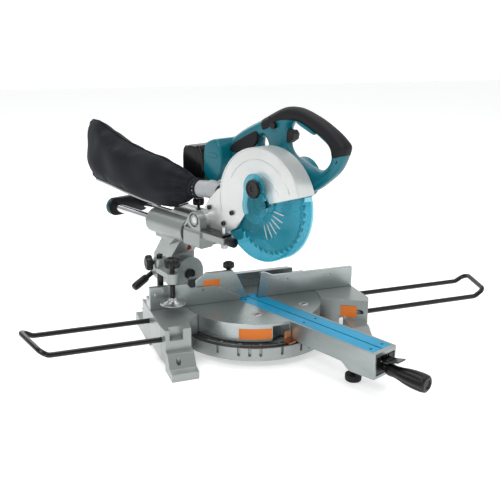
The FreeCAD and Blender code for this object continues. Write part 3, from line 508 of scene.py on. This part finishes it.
def makePower():
    shoe = plateBody("batteryShoe", power["shoe"], [], "x", power["left"], power["right"], 6, 1)
    finishPiece("batteryShoe", shoe, "head", "teal_plastic", ("battery_housing",), sharp=30)
    ridge = plateBody("shoeRidge", [(120, 338), (122, 344), (150, 344), (153, 340), (150, 336),
                                    (124, 334)], [],
                      "x", power["left"] - 1.2, power["left"] + 4, 1.0, 2)
    finishPiece("shoeRidge", ridge, "head", "teal_plastic")
    motor = lathe([(0, 30), (1, 36), (3, 39), (8, 40), (52, 40), (54, 39.2), (56, 39.2), (58, 40), (66, 40),
                   (69, 37.5), (70, 33), (69.5, 20), (68.5, 18), (68.5, 5)], (48.2, -24, 306), (1, 0, 0), 72)
    finishPiece("motorDrum", motor, "head", "teal_plastic", ("motor_housing",))
    fins = []
    for k in range(9):
        angle = math.radians(40 * k)
        fin = plateBody("fin", [(16, -1.6), (30, -1.6), (30, 1.6), (16, 1.6)], [], "x", 116.6, 118.4, 0.5, 1)
        fin.transform(Matrix.Translation((0, -24, 306)) @ Matrix.Rotation(angle, 4, "X"))
        fins.append(fin)
    finishPiece("motorVentRibs", joinMeshes(fins, "motorVentRibs"), "head", "black_plastic")
    for name, low in (("battery_left", 14), ("battery_right", 65)):
        side = [(166.4, 268), (228, 264), (234, 276), (234, 338), (224, 350), (166.4, 350)]
        case = plateBody(name, side, [], "x", low + 0.4, low + 46.6, 4.5, 1)
        band = plateBody("band", [(184, 262.5), (188, 262.5), (188, 351.2), (184, 351.2)], [],
                         "x", low, low + 47, 1.2, 0)
        both = joinMeshes([case, band], name)
        finishPiece(name.replace("_l", "L").replace("_r", "R") + "Pack", both, name, "black_plastic", (name,))


# ---- knobs, screws and turned parts

knobs = {
    # name: (node and body, start, axis, shank, shank radius, head, head radius, lobes, turned)
    "subFenceKnob": ("sub_fence_knob", (-42, 22, 97), (0, 0, 1), 41, 4.4, 12, 11, 6, False),
    "barScrewLeft": ("bar_screw_left", (-195, 17.5, 54), (0, 1, 0), 49, 3.0, 9, 8, 6, False),
    "barScrewRight": ("bar_screw_right", (196, 17.5, 54), (0, 1, 0), 43, 3.0, 9, 8, 6, False),
    "viseClampKnob": ("vise_clamp_screw", (-183, 26, 163), (-1, 0, 0), 7.5, 4.0, 13, 15, 5, False),
    "poleLockKnob": ("pole_lock_screw", (34.5, 206, 199.6), (0, 0, 1), 22.4, 3.0, 15, 13, 6, True),
}


def knobProfile(shank, shankRadius, head, headRadius):
    tall = shank + head
    return [(0, shankRadius - 0.8), (0.8, shankRadius), (shank, shankRadius), (shank, headRadius * 0.7),
            (shank + 0.4, headRadius * 0.86), (shank + 0.14 * head, headRadius * 0.97),
            (shank + 0.35 * head, headRadius), (shank + 0.72 * head, headRadius * 0.99),
            (shank + 0.88 * head, headRadius * 0.93), (tall - 0.3, headRadius * 0.8), (tall, headRadius * 0.66),
            (tall - 0.2, headRadius * 0.45), (tall - 1.2, headRadius * 0.42), (tall - 1.2, headRadius * 0.1)]


def makeKnobs():
    for name, (node, start, axis, shank, thin, head, wide, lobes, turned) in knobs.items():
        shape = lathe(knobProfile(shank, thin, head, wide), start, axis, 72, lobes, 0.2,
                      (shank + 0.3, shank + head - 0.25))
        finishPiece(name, shape, node, "black_plastic", (node,), turned)
    post = lathe(drum(46, 178, 6, 1.2), (-176, 26, 0), (0, 0, 1), 40)
    finishPiece("visePost", post, "base", "black_steel", ("vise_post",), False)
    thread = [(104, 6.4)]
    for k in range(26):
        thread += [(112 + k * 2.0, 4.4), (113 + k * 2.0, 5.0)]
    thread += [(168.6, 5)]
    screw = lathe(thread, (-166, -27, 0), (0, 0, 1), 32)
    hand = lathe([(168, 11), (168.4, 13.2), (170, 15), (174, 15.5), (180, 15.2), (183, 14), (184.6, 11.5),
                  (185, 9), (184.4, 6), (183.4, 5.6), (183.4, 1)], (-166, -27, 0), (0, 0, 1), 84, 7, 0.17,
                 (168.2, 184.8))
    neck = lathe([(167.3, 6.5), (167.7, 8), (168.4, 9.5)], (-166, -27, 0), (0, 0, 1), 32)
    finishPiece("viseSpindle", joinMeshes([screw, hand, neck], "viseSpindle"), "vise_spindle",
                "black_plastic", ("vise_spindle",), False)
    dish = lathe([(0, 22), (0.3, 23.4), (1.2, 24), (2.4, 23.6), (3.2, 21), (3.6, 18), (4.6, 15.5),
                  (6.6, 10.5),
                  (8, 8.4), (12, 7.4), (12.6, 6.4)], (-166, -27, 97.9), (0, 0, 1), 64)
    finishPiece("visePad", dish, "vise_spindle", "zinc", ("vise_pad",), False)


def makeGrip():
    # fluted hand grip on the end of the table arm
    profile = [(326, 8), (326.6, 9.6), (329, 10), (333, 10.8), (340, 10.2), (346, 10.5), (354, 12),
               (364, 14.0), (376, 15.4), (388, 15.9), (397, 15.6), (401, 14.2), (402.6, 12), (403, 9),
               (402.2, 7.5), (401, 7), (401, 1)]
    grip = lathe(profile, (0, 0, 47), (0, -1, 0), 96, 8, 0.13, (350, 398))
    stem = lathe(drum(300, 327, 6, 0.8), (0, 0, 47), (0, -1, 0), 32)
    finishPiece("tableGrip", joinMeshes([grip, stem], "tableGrip"), "mitre_grip", "black_plastic",
                ("mitre_grip",))
    foot = lathe([(0, 12), (0.4, 13.4), (1.2, 14), (4, 14.5), (10.5, 14.5), (11.6, 13.8), (12, 12), (12, 4.0),
                  (52, 4.0)], (0, -255, 0), (0, 0, 1), 90, 18, 0.06, (3.9, 10.6))
    finishPiece("armFoot", foot, "arm_foot", "black_rubber", ("arm_foot",))


def makeBars():
    routes = {
        "left": [(-145, 12, 54), (-414, 12, 54), (-438, 12, 68),
                 (-408, -80, 62), (-396, -80, 54), (-145, -80, 54)],
        "right": [(158, 12, 54), (478, 12, 54), (505, 12, 68),
                  (481, -80, 67), (460, -80, 54), (196, -80, 54)],
    }
    for sideName, points in routes.items():
        bar = wire("bar", bendPath(points, 14), 4.8, 5)
        finishPiece("extensionBar" + sideName.capitalize(), bar, "bar_" + sideName, "black_steel",
                    ("extension_bar_" + sideName,), False)
    print("bars ready")


def makeRear():
    # end cap of the two slide poles: black shoe with a teal cover
    poleX, poleZ, capRadius, steps = 34.5, 190, 20, 28
    outline = []
    for k in range(steps):
        angle = 2 * math.pi * k / steps
        outline.append((math.copysign(poleX, math.cos(angle)) + capRadius * math.cos(angle),
                        poleZ + capRadius * math.sin(angle)))
    shoe = plateBody("poleShoe", outline, [], "y", 413.6, 422.5, 2.0, 0)
    finishPiece("poleShoe", shoe, "carriage", "black_plastic", ("pole_cap",))
    cover = plateBody("poleCover", outline, [], "y", 422.6, 430, 3.0, 0)
    finishPiece("poleCover", cover, "carriage", "teal_plastic", ("pole_cap",))
    lever = wire("lever", bendPath([(0, 291, 78), (-30, 291, 63.5), (-80, 291, 39.3)], 30), 5.6, 5)
    hub = lathe(drum(276, 298, 13, 1.6), (0, 0, 78), (0, 1, 0), 48)
    tip = lathe([(0, 6), (1, 7.6), (6, 8.8), (30, 9), (37, 8.4), (40, 6.4), (40.6, 3)], (-44, 291, 56.7),
                (-36, 0, -17.4), 40)
    finishPiece("bevelLever", joinMeshes([lever, hub, tip], "bevelLever"), "bevel_lever", "black_plastic",
                ("bevel_lever",))
    pin = lathe(drum(-2, 15, 9, 1.5), (-43.5, 19, 196.5), (0, -1, 0), 60, 10, 0.06, (-1, 14))
    stem = lathe(drum(0, 22, 3, 0.5), (-43.5, 28.4, 196.5), (0, -1, 0), 24)
    finishPiece("stopperKnob", joinMeshes([pin, stem], "stopperKnob"), "stopper_pin", "black_plastic",
                ("stopper_pin",))
    cap = lathe([(0, 17), (1, 17), (3.6, 16.8), (5, 15.6), (5.4, 13), (5.0, 11.5), (4.0, 11), (4.0, 5.5),
                 (2.6, 5.0),
                 (2.6, 1)], (-36.6, -38, 306), (-1, 0, 0), 64)
    spacer = lathe(drum(0, 11.5, 11.8, 0.4), (-25.1, -38, 306), (-1, 0, 0), 40)
    finishPiece("coverCap", joinMeshes([cap, spacer], "coverCap"), "head", "black_plastic", ("cover_cap",))


# ---- raised ribs on the blade case and small marks

def ring(x0, x1, inner, outer, fromDeg, toDeg, steps=40):
    outline = []
    for k in range(steps + 1):
        angle = math.radians(fromDeg + (toDeg - fromDeg) * k / steps)
        outline.append((-38 - outer * math.cos(angle), 272 + outer * math.sin(angle)))
    for k in range(steps, -1, -1):
        angle = math.radians(fromDeg + (toDeg - fromDeg) * k / steps)
        outline.append((-38 - inner * math.cos(angle), 272 + inner * math.sin(angle)))
    return plateBody("ring", outline, [], "x", x0, x1, 0.45, 0)


def makeCaseRibs():
    ribs = [ring(-26.2, -24, 103.8, 106.3, 20, 196), ring(-25.9, -24, 84, 86, 24, 150),
            ring(-25.7, -24, 58, 60.4, 30, 120)]
    finishPiece("caseRibs", joinMeshes(ribs, "caseRibs"), "head", "cast_grey", (), True, extra["caseSilver"])
    slits = []
    for k in range(6):
        slit = plateBody("slit", [(-62, -1.1), (-35, -1.1), (-35, 1.1), (-62, 1.1)], [], "x",
                         -20.9, -20.2, 0.3, 1)
        slit.transform(Matrix.Translation((0, -38, 272)) @ Matrix.Rotation(math.radians(6 + 13 * k), 4, "X"))
        slits.append(slit)
    finishPiece("guardSlitEdges", joinMeshes(slits, "guardSlitEdges"), "lower_guard", "clear_teal", (), True,
                extra["paleMark"])
    # front of the guard that runs up inside the blade case
    upper = [ring(-20.4, -18.6, 38, 101.4, 12, 40, 12), ring(-20.4, 9.8, 101.4, 103.2, 12, 40, 12)]
    finishPiece("guardFront", joinMeshes(upper, "guardFront"), "lower_guard", "clear_teal")
    rims = [ring(-21.1, -19.4, 99.6, 102.8, -192, 10, 70)]
    finishPiece("guardRim", joinMeshes(rims, "guardRim"), "lower_guard", "clear_teal")


def stickers():
    # plain printed panels without words
    fence = plateBody("fenceSticker", [(-98, 110), (-66, 110), (-66, 124), (-98, 124)], [], "y",
                      4.1, 4.45, 0.12, 0)
    finishPiece("fenceSticker", fence, "sub_fence", "cast_grey", (), False, extra["orange"])
    wing = plateBody("wingSticker", [(10, 42), (41, 42), (41, 66), (10, 66)], [], "y", 0, 0.35, 0.12, 0)
    wing.transform(Matrix.Translation((151, -57.6, 0)) @ Matrix.Rotation(math.radians(-31.1), 4, "Z"))
    finishPiece("wingSticker", wing, "base", "cast_grey", (), False, extra["orange"])
    # curved one on the front wall of the turntable
    wallRadius, columns = 131.9, 16
    bm = bmesh.new()
    rings = []
    for z in (49, 69):
        row = []
        for k in range(columns + 1):
            angle = math.radians(-54 + 26 * k / columns)
            row.append(bm.verts.new((wallRadius * math.sin(angle), -wallRadius * math.cos(angle), z)))
        rings.append(row)
    for k in range(columns):
        bm.faces.new((rings[0][k], rings[0][k + 1], rings[1][k + 1], rings[1][k]))
    shape = bpy.data.meshes.new("tableSticker")
    bm.to_mesh(shape)
    bm.free()
    holder = bpy.data.objects.new("tableSticker", shape)
    thick = holder.modifiers.new("thick", "SOLIDIFY")
    thick.thickness = 0.4
    finishPiece("tableSticker", meshFrom(holder, "tableSticker"), "turntable", "cast_grey", (), True,
                extra["orange"])
    for name, x, y in (("roundMarkLeft", -52, -66), ("roundMarkRight", 52, -86)):
        disc = lathe([(0, 9.3), (0.08, 9.5), (0.12, 9.2)], (x, y, 78), (0, 0, 1), 40)
        finishPiece(name, disc, "turntable", "cast_grey", (), True, extra["paleMark"])
        band = plateBody("band", [(x - 7, y - 2.2), (x + 7, y - 2.2), (x + 7, y + 2.2), (x - 7, y + 2.2)],
                         [], "z", 78.1, 78.2, 0.04, 1)
        finishPiece(name + "Band", band, "turntable", "cast_grey", (), True, extra["redMark"])
    wedge = plateBody("bevelMark", [(-8, 132), (8, 132), (0, 146)], [], "y", 196.0, 197.2, 0.3, 1)
    finishPiece("bevelMark", wedge, "bevel_arm", "cast_grey", (), True, extra["redMark"])


# ---- mitre scale ticks, made by a node tree

ticks = {"count": 113, "stepDegrees": 1.0, "radius": 0.1405, "width": 0.00045, "length": 0.005}


def makeTicks():
    tree = bpy.data.node_groups.new("scaleTicks", "GeometryNodeTree")
    tree.interface.new_socket("Geometry", in_out="OUTPUT", socket_type="NodeSocketGeometry")
    sockets = {}
    for label, kind in (("Count", "NodeSocketInt"), ("Step", "NodeSocketFloat"),
                        ("Radius", "NodeSocketFloat"), ("Width", "NodeSocketFloat"),
                        ("Length", "NodeSocketFloat")):
        sockets[label] = tree.interface.new_socket(label, in_out="INPUT", socket_type=kind).identifier
    new, link = tree.nodes.new, tree.links.new
    given, result = new("NodeGroupInput"), new("NodeGroupOutput")
    line = new("GeometryNodeMeshLine")
    link(given.outputs["Count"], line.inputs["Count"])
    line.inputs["Offset"].default_value = (0, 0, 0)
    index = new("GeometryNodeInputIndex")

    def sums(operation, a, b):
        node = new("ShaderNodeMath")
        node.operation = operation
        for k, value in enumerate((a, b)):
            if isinstance(value, (int, float)):
                node.inputs[k].default_value = value
            else:
                link(value, node.inputs[k])
        return node.outputs[0]

    shift = sums("SUBTRACT", index.outputs[0], sums("DIVIDE", sums("SUBTRACT", given.outputs["Count"], 1), 2))
    angle = sums("MULTIPLY", shift, sums("MULTIPLY", given.outputs["Step"], math.radians(1)))
    wave = sums("SINE", sums("MULTIPLY", shift, math.pi / 5), 0)
    fifth = sums("LESS_THAN", sums("ABSOLUTE", wave, 0), 0.01)  # every fifth tick is longer
    long = sums("ADD", 1.0, sums("MULTIPLY", fifth, 0.45))
    turned = new("ShaderNodeCombineXYZ")
    link(angle, turned.inputs[2])
    spot = new("ShaderNodeCombineXYZ")
    link(sums("MULTIPLY", given.outputs["Radius"], sums("SINE", angle, 0)), spot.inputs[0])
    forward = sums("MULTIPLY", given.outputs["Radius"], -1)
    link(sums("MULTIPLY", forward, sums("COSINE", angle, 0)), spot.inputs[1])
    spot.inputs[2].default_value = 0.0414
    move = new("GeometryNodeSetPosition")
    link(line.outputs[0], move.inputs["Geometry"])
    link(spot.outputs[0], move.inputs["Position"])
    tick = new("GeometryNodeMeshCube")
    size = new("ShaderNodeCombineXYZ")
    link(given.outputs["Width"], size.inputs[0])
    link(given.outputs["Length"], size.inputs[1])
    size.inputs[2].default_value = 0.0003
    link(size.outputs[0], tick.inputs["Size"])
    spread = new("GeometryNodeInstanceOnPoints")
    link(move.outputs[0], spread.inputs["Points"])
    link(tick.outputs["Mesh"], spread.inputs["Instance"])
    link(turned.outputs[0], spread.inputs["Rotation"])
    grow = new("ShaderNodeCombineXYZ")
    grow.inputs[0].default_value = 1
    grow.inputs[2].default_value = 1
    link(long, grow.inputs[1])
    link(grow.outputs[0], spread.inputs["Scale"])
    real = new("GeometryNodeRealizeInstances")
    link(spread.outputs[0], real.inputs[0])
    paint = new("GeometryNodeSetMaterial")
    paint.inputs["Material"].default_value = extra["paleMark"]
    link(real.outputs[0], paint.inputs["Geometry"])
    link(paint.outputs[0], result.inputs[0])
    holder = bpy.data.objects.new("scaleTicks", bpy.data.meshes.new("scaleTicks"))
    modifier = holder.modifiers.new("scaleTicks", "NODES")
    modifier.node_group = tree
    for label, key in (("Count", "count"), ("Step", "stepDegrees"), ("Radius", "radius"), ("Width", "width"),
                       ("Length", "length")):
        modifier[sockets[label]] = ticks[key]
    mesh = meshFrom(holder, "scaleTicks")
    mesh.transform(Matrix.Scale(1000, 4))
    finishPiece("scaleTicks", mesh, "base", "scale_black", (), False, extra["paleMark"])
    numbers = []
    for degrees in (-45, -30, -15, 0, 15, 30, 45):
        text = bpy.data.curves.new("number", "FONT")
        text.body = str(abs(degrees))
        text.size = 5.2
        text.align_x = "CENTER"
        text.extrude = 0.12
        mesh = meshFrom(bpy.data.objects.new("number", text), "number")
        mesh.transform(Matrix.Rotation(math.radians(degrees), 4, "Z") @ Matrix.Translation((0, -137.6, 41.6)))
        numbers.append(mesh)
    finishPiece("scaleNumbers", joinMeshes(numbers, "scaleNumbers"), "base", "scale_black", (), False,
                extra["paleMark"])
    print("scale ready")


# ---- dust bag: cloth shell blown up from the inside, gathered on the nozzle

bag = {
    # station: (y, bottom, top, half width)
    "stations": [(161, 255, 290, 17), (172, 249, 293, 20), (190, 238, 300, 26), (225, 224, 311, 30),
                 (280, 216, 324, 32), (340, 218, 333, 32), (400, 223, 344, 31), (460, 229, 360, 28),
                 (505, 233, 372, 23), (530, 236, 372, 17), (545, 241, 364, 10), (551, 252, 350, 4)],
    "middle": -14, "voxel": 0.005, "pressure": 4.0, "cap": 0.007, "frames": 18, "slack": 3.5,
}


def stationAt(y):
    table = bag["stations"]
    for a, b in zip(table[:-1], table[1:]):
        if y <= b[0]:
            share = (y - a[0]) / (b[0] - a[0])
            share = share * share * (3 - 2 * share) * 0.5 + share * 0.5
            return [a[k] + (b[k] - a[k]) * share for k in range(4)]
    return list(table[-1])


def bagShell():
    bm = bmesh.new()
    rings = []
    across = 56
    for row in range(79):
        y = 161 + (551 - 161) * row / 78
        _, low, high, half = stationAt(y)
        low, high = low - bag["slack"], high + bag["slack"]  # the skin draws in a little as it fills
        ring = []
        near = max(0.0, 1 - (y - 161) / 90)
        for k in range(across):
            angle = 2 * math.pi * k / across
            side, rise = math.sin(angle), -math.cos(angle)
            pinch = 1 - 0.55 * max(0.0, -rise) ** 6 - 0.25 * max(0.0, rise) ** 8
            fold = 1 + 0.05 * near * math.sin(7 * angle + 0.4) + 0.02 * near * math.sin(13 * angle + 1)
            ripple = 1.6 * math.sin(y * 0.047 + 2.2 * rise) * math.sin(y * 0.021 + 1.3) * (1 - near)
            x = bag["middle"] + (half * math.copysign(abs(side) ** 0.8, side) * pinch * fold
                                 + ripple * math.copysign(1, side) * abs(side))
            z = 0.5 * (low + high) + 0.5 * (high - low) * math.copysign(abs(rise) ** 0.85, rise) * (2 - fold)
            ring.append(bm.verts.new((x, y, z)))
        rings.append(ring)
    for a, b in zip(rings[:-1], rings[1:]):
        for k in range(across):
            bm.faces.new((a[k], a[(k + 1) % across], b[(k + 1) % across], b[k]))
    bm.faces.new(rings[0][::-1])
    bm.faces.new(rings[-1])
    bmesh.ops.recalc_face_normals(bm, faces=bm.faces)
    mesh = bpy.data.meshes.new("dustBag")
    bm.to_mesh(mesh)
    bm.free()
    return mesh


def blowUp(mesh):
    # voxel skin, then a short cloth run with air inside; points may move only so far
    mesh.transform(turn @ millimetre)
    holder = bpy.data.objects.new("bagSkin", mesh)
    skin = holder.modifiers.new("skin", "REMESH")
    skin.mode = "VOXEL"
    skin.voxel_size = bag["voxel"]
    mesh = meshFrom(holder, "bagSkin")
    holder = bpy.data.objects.new("bagSkin", mesh)
    bpy.context.scene.collection.objects.link(holder)
    start = [v.co.copy() for v in mesh.vertices]
    held = holder.vertex_groups.new(name="held")
    back = turn.inverted()
    for k, where in enumerate(start):
        y = (back @ where).y
        held.add([k], max(0.0, min(1.0, (0.19 - y) / 0.02)), "REPLACE")
    cloth = holder.modifiers.new("air", "CLOTH")
    cloth.settings.quality = 4
    cloth.settings.mass = 0.3
    cloth.settings.tension_stiffness = 12
    cloth.settings.compression_stiffness = 8
    cloth.settings.bending_stiffness = 0.4
    cloth.settings.use_pressure = True
    cloth.settings.uniform_pressure_force = bag["pressure"]
    cloth.settings.vertex_group_mass = "held"
    cloth.settings.effector_weights.gravity = 0
    cloth.point_cache.frame_end = bag["frames"]
    scene = bpy.context.scene
    for step in range(1, bag["frames"] + 1):
        scene.frame_set(step)
    graph = bpy.context.evaluated_depsgraph_get()
    blown = [v.co.copy() for v in holder.evaluated_get(graph).data.vertices]
    for vert, before, after in zip(mesh.vertices, start, blown):
        move = after - before
        if move.length > bag["cap"]:
            move = move.normalized() * bag["cap"]
        vert.co = before + move
    holder.modifiers.remove(cloth)
    scene.frame_set(1)
    bpy.data.objects.remove(holder)
    return mesh


def makeBag():
    mesh = blowUp(bagShell())
    holder = bpy.data.objects.new("bagSmooth", mesh)
    ease = holder.modifiers.new("ease", "SMOOTH")
    ease.iterations = 3
    ease.factor = 0.5
    finer = holder.modifiers.new("finer", "SUBSURF")
    finer.levels = finer.render_levels = 1
    mesh = meshFrom(holder, "dustBag")
    mesh.transform(millimetre.inverted() @ turn.inverted())
    # soft dents pressed in after the air: gathers by the collar, slack folds on the flanks
    for vert in mesh.vertices:
        x, y, z = vert.co
        near = max(0.0, min(1.0, (260 - y) / 80)) * max(0.0, min(1.0, (y - 163) / 14))
        across = math.atan2(x + 14, z - 272)
        dent = 3.0 * near * math.sin(9 * across + 0.03 * y)
        slack = math.sin(0.034 * y + 0.018 * z + 1.1) * math.sin(0.061 * z - 0.013 * y + 0.4)
        dent += 3.4 * slack * max(0.0, min(1.0, (y - 230) / 60))
        vert.co += Vector((math.copysign(1, x + 14), 0, 0)) * dent * min(1.0, abs(x + 14) / 10)
    middleLine = [vert.co[:] for vert in mesh.vertices if abs(vert.co[0] - bag["middle"]) < 7]
    cloth = finishPiece("dustBag", mesh, "head", "bag_cloth", ("dust_bag",), sharp=180)
    # piped seam over the top and round the closed end
    low, high = [], []
    for row in range(27):
        y = 180 + (544 - 180) * row / 26
        near = [vert for vert in middleLine if abs(vert[1] - y) < 6]
        high.append((bag["middle"], y, max(vert[2] for vert in near) + 0.3))
        low.append((bag["middle"], y, min(vert[2] for vert in near) - 0.3))
    seam = wire("bagSeam", [Vector(p) for p in high + low[::-1]], 1.5, 3)
    finishPiece("bagSeam", seam, "head", "bag_cloth", sharp=60)
    # gathered collar on the nozzle
    collar = lathe([(-2, 17.6), (-1, 19.4), (1, 20.2), (4, 19.6), (6, 18.6), (8, 19.8), (11, 21), (14, 20.4),
                    (17, 18.8), (20, 17.6)], (-9.6, 146, 273), (-0.11, 1, -0.06), 84, 14, 0.07, (0, 15))
    finishPiece("bagCollar", collar, "head", "bag_cloth", sharp=60)
    # light grey rail that closes the bottom edge, with a tail clip
    top = [(282, 219), (340, 220.5), (400, 225), (460, 231), (528, 236)]
    outline = [(y, z) for y, z in top] + [(y, z - 4.6) for y, z in top[::-1]]
    rail = plateBody("rail", outline, [], "x", -18, -10, 1.2, 0)
    clip = plateBody("clip", [(280, 210.5), (300, 212), (300, 219), (280, 218)], [], "x", -19.5, -8.5, 1.6, 1)
    finishPiece("bagRail", joinMeshes([rail, clip], "bagRail"), "head", "bag_clip", ("bag_strip",))
    print("bag ready")


makeHandle()
makePower()
print("handle and power ready")
makeKnobs()
makeGrip()
makeBars()
makeRear()
makeCaseRibs()
stickers()
makeTicks()
makeBag()


# ---- studio

def studio():
    floorMat = Shader("floorPaper")
    cloud = floorMat.noise(3, 2, 0.5)
    floorMat.done(floorMat.surface(Base_Color=floorMat.mix(floorMat.ramp(cloud, 0.3, 0.7), (0.93, 0.93, 0.93),
                                                           (0.91, 0.91, 0.91)), Roughness=0.6,
                                   Emission_Color=(1, 1, 1, 1), Emission_Strength=0.42))
    bpy.ops.mesh.primitive_plane_add(size=12, location=(0, 0, -0.0005))
    floor = bpy.context.object
    floor.name = "floor"
    floor.data.materials.append(floorMat.material)
    for name, spot, size, power, aim in (
            ("keyLight", (-1.6, -1.6, 2.2), 1.1, 34, (0, 0, 0.15)),
            ("fillLight", (1.9, -1.2, 1.4), 1.8, 9, (0, 0, 0.2)),
            ("topLight", (0.0, 0.4, 2.6), 1.6, 20, (0, 0, 0.1)),
            ("rimLight", (-0.6, 2.2, 1.5), 1.2, 9, (0, 0, 0.25))):
        lamp = bpy.data.lights.new(name, "AREA")
        lamp.size = size
        lamp.energy = power
        holder = bpy.data.objects.new(name, lamp)
        bpy.context.scene.collection.objects.link(holder)
        holder.location = spot
        holder.rotation_euler = (Vector(aim) - Vector(spot)).to_track_quat("-Z", "Y").to_euler()
    world = bpy.data.worlds.new("whiteRoom")
    world.use_nodes = True
    # white behind the saw, greyer to the sides and behind the viewer, as in a studio tent
    new, link = world.node_tree.nodes.new, world.node_tree.links.new
    toward = new("ShaderNodeVectorMath")
    toward.operation = "DOT_PRODUCT"
    link(new("ShaderNodeTexCoord").outputs["Generated"], toward.inputs[0])
    toward.inputs[1].default_value = (0.352, 0.936, -0.05)
    shade = new("ShaderNodeMapRange")
    for key, value in (("From Min", 0.25), ("From Max", 0.8), ("To Min", 0.42), ("To Max", 1.02)):
        shade.inputs[key].default_value = value
    link(toward.outputs["Value"], shade.inputs["Value"])
    link(shade.outputs["Result"], world.node_tree.nodes["Background"].inputs[1])
    world.node_tree.nodes["Background"].inputs[0].default_value = (0.985, 0.995, 1.0, 1)
    bpy.context.scene.world = world
    bpy.context.scene.view_settings.view_transform = "Standard"


def camera():
    lens = bpy.data.cameras.new("mainCamera")
    lens.sensor_width = 36
    lens.lens = 731.55 / 500 * 36
    lens.clip_end = 50
    holder = bpy.data.objects.new("mainCamera", lens)
    bpy.context.scene.collection.objects.link(holder)
    azimuth, elevation, roll = (math.radians(v) for v in (20.6029, 17.0228, 0.5116))
    back = Vector((-math.sin(azimuth) * math.cos(elevation), -math.cos(azimuth) * math.cos(elevation),
                   math.sin(elevation)))
    right = Vector((math.cos(azimuth), -math.sin(azimuth), 0))
    up = back.cross(right)
    rightRolled = right * math.cos(roll) + up * math.sin(roll)
    upRolled = up * math.cos(roll) - right * math.sin(roll)
    basis = Matrix((rightRolled, upRolled, back)).transposed().to_4x4()
    basis.translation = Vector((-0.474702, -1.245209, 0.583994))
    holder.matrix_world = basis
    bpy.context.scene.camera = holder


studio()
camera()
print("studio ready")
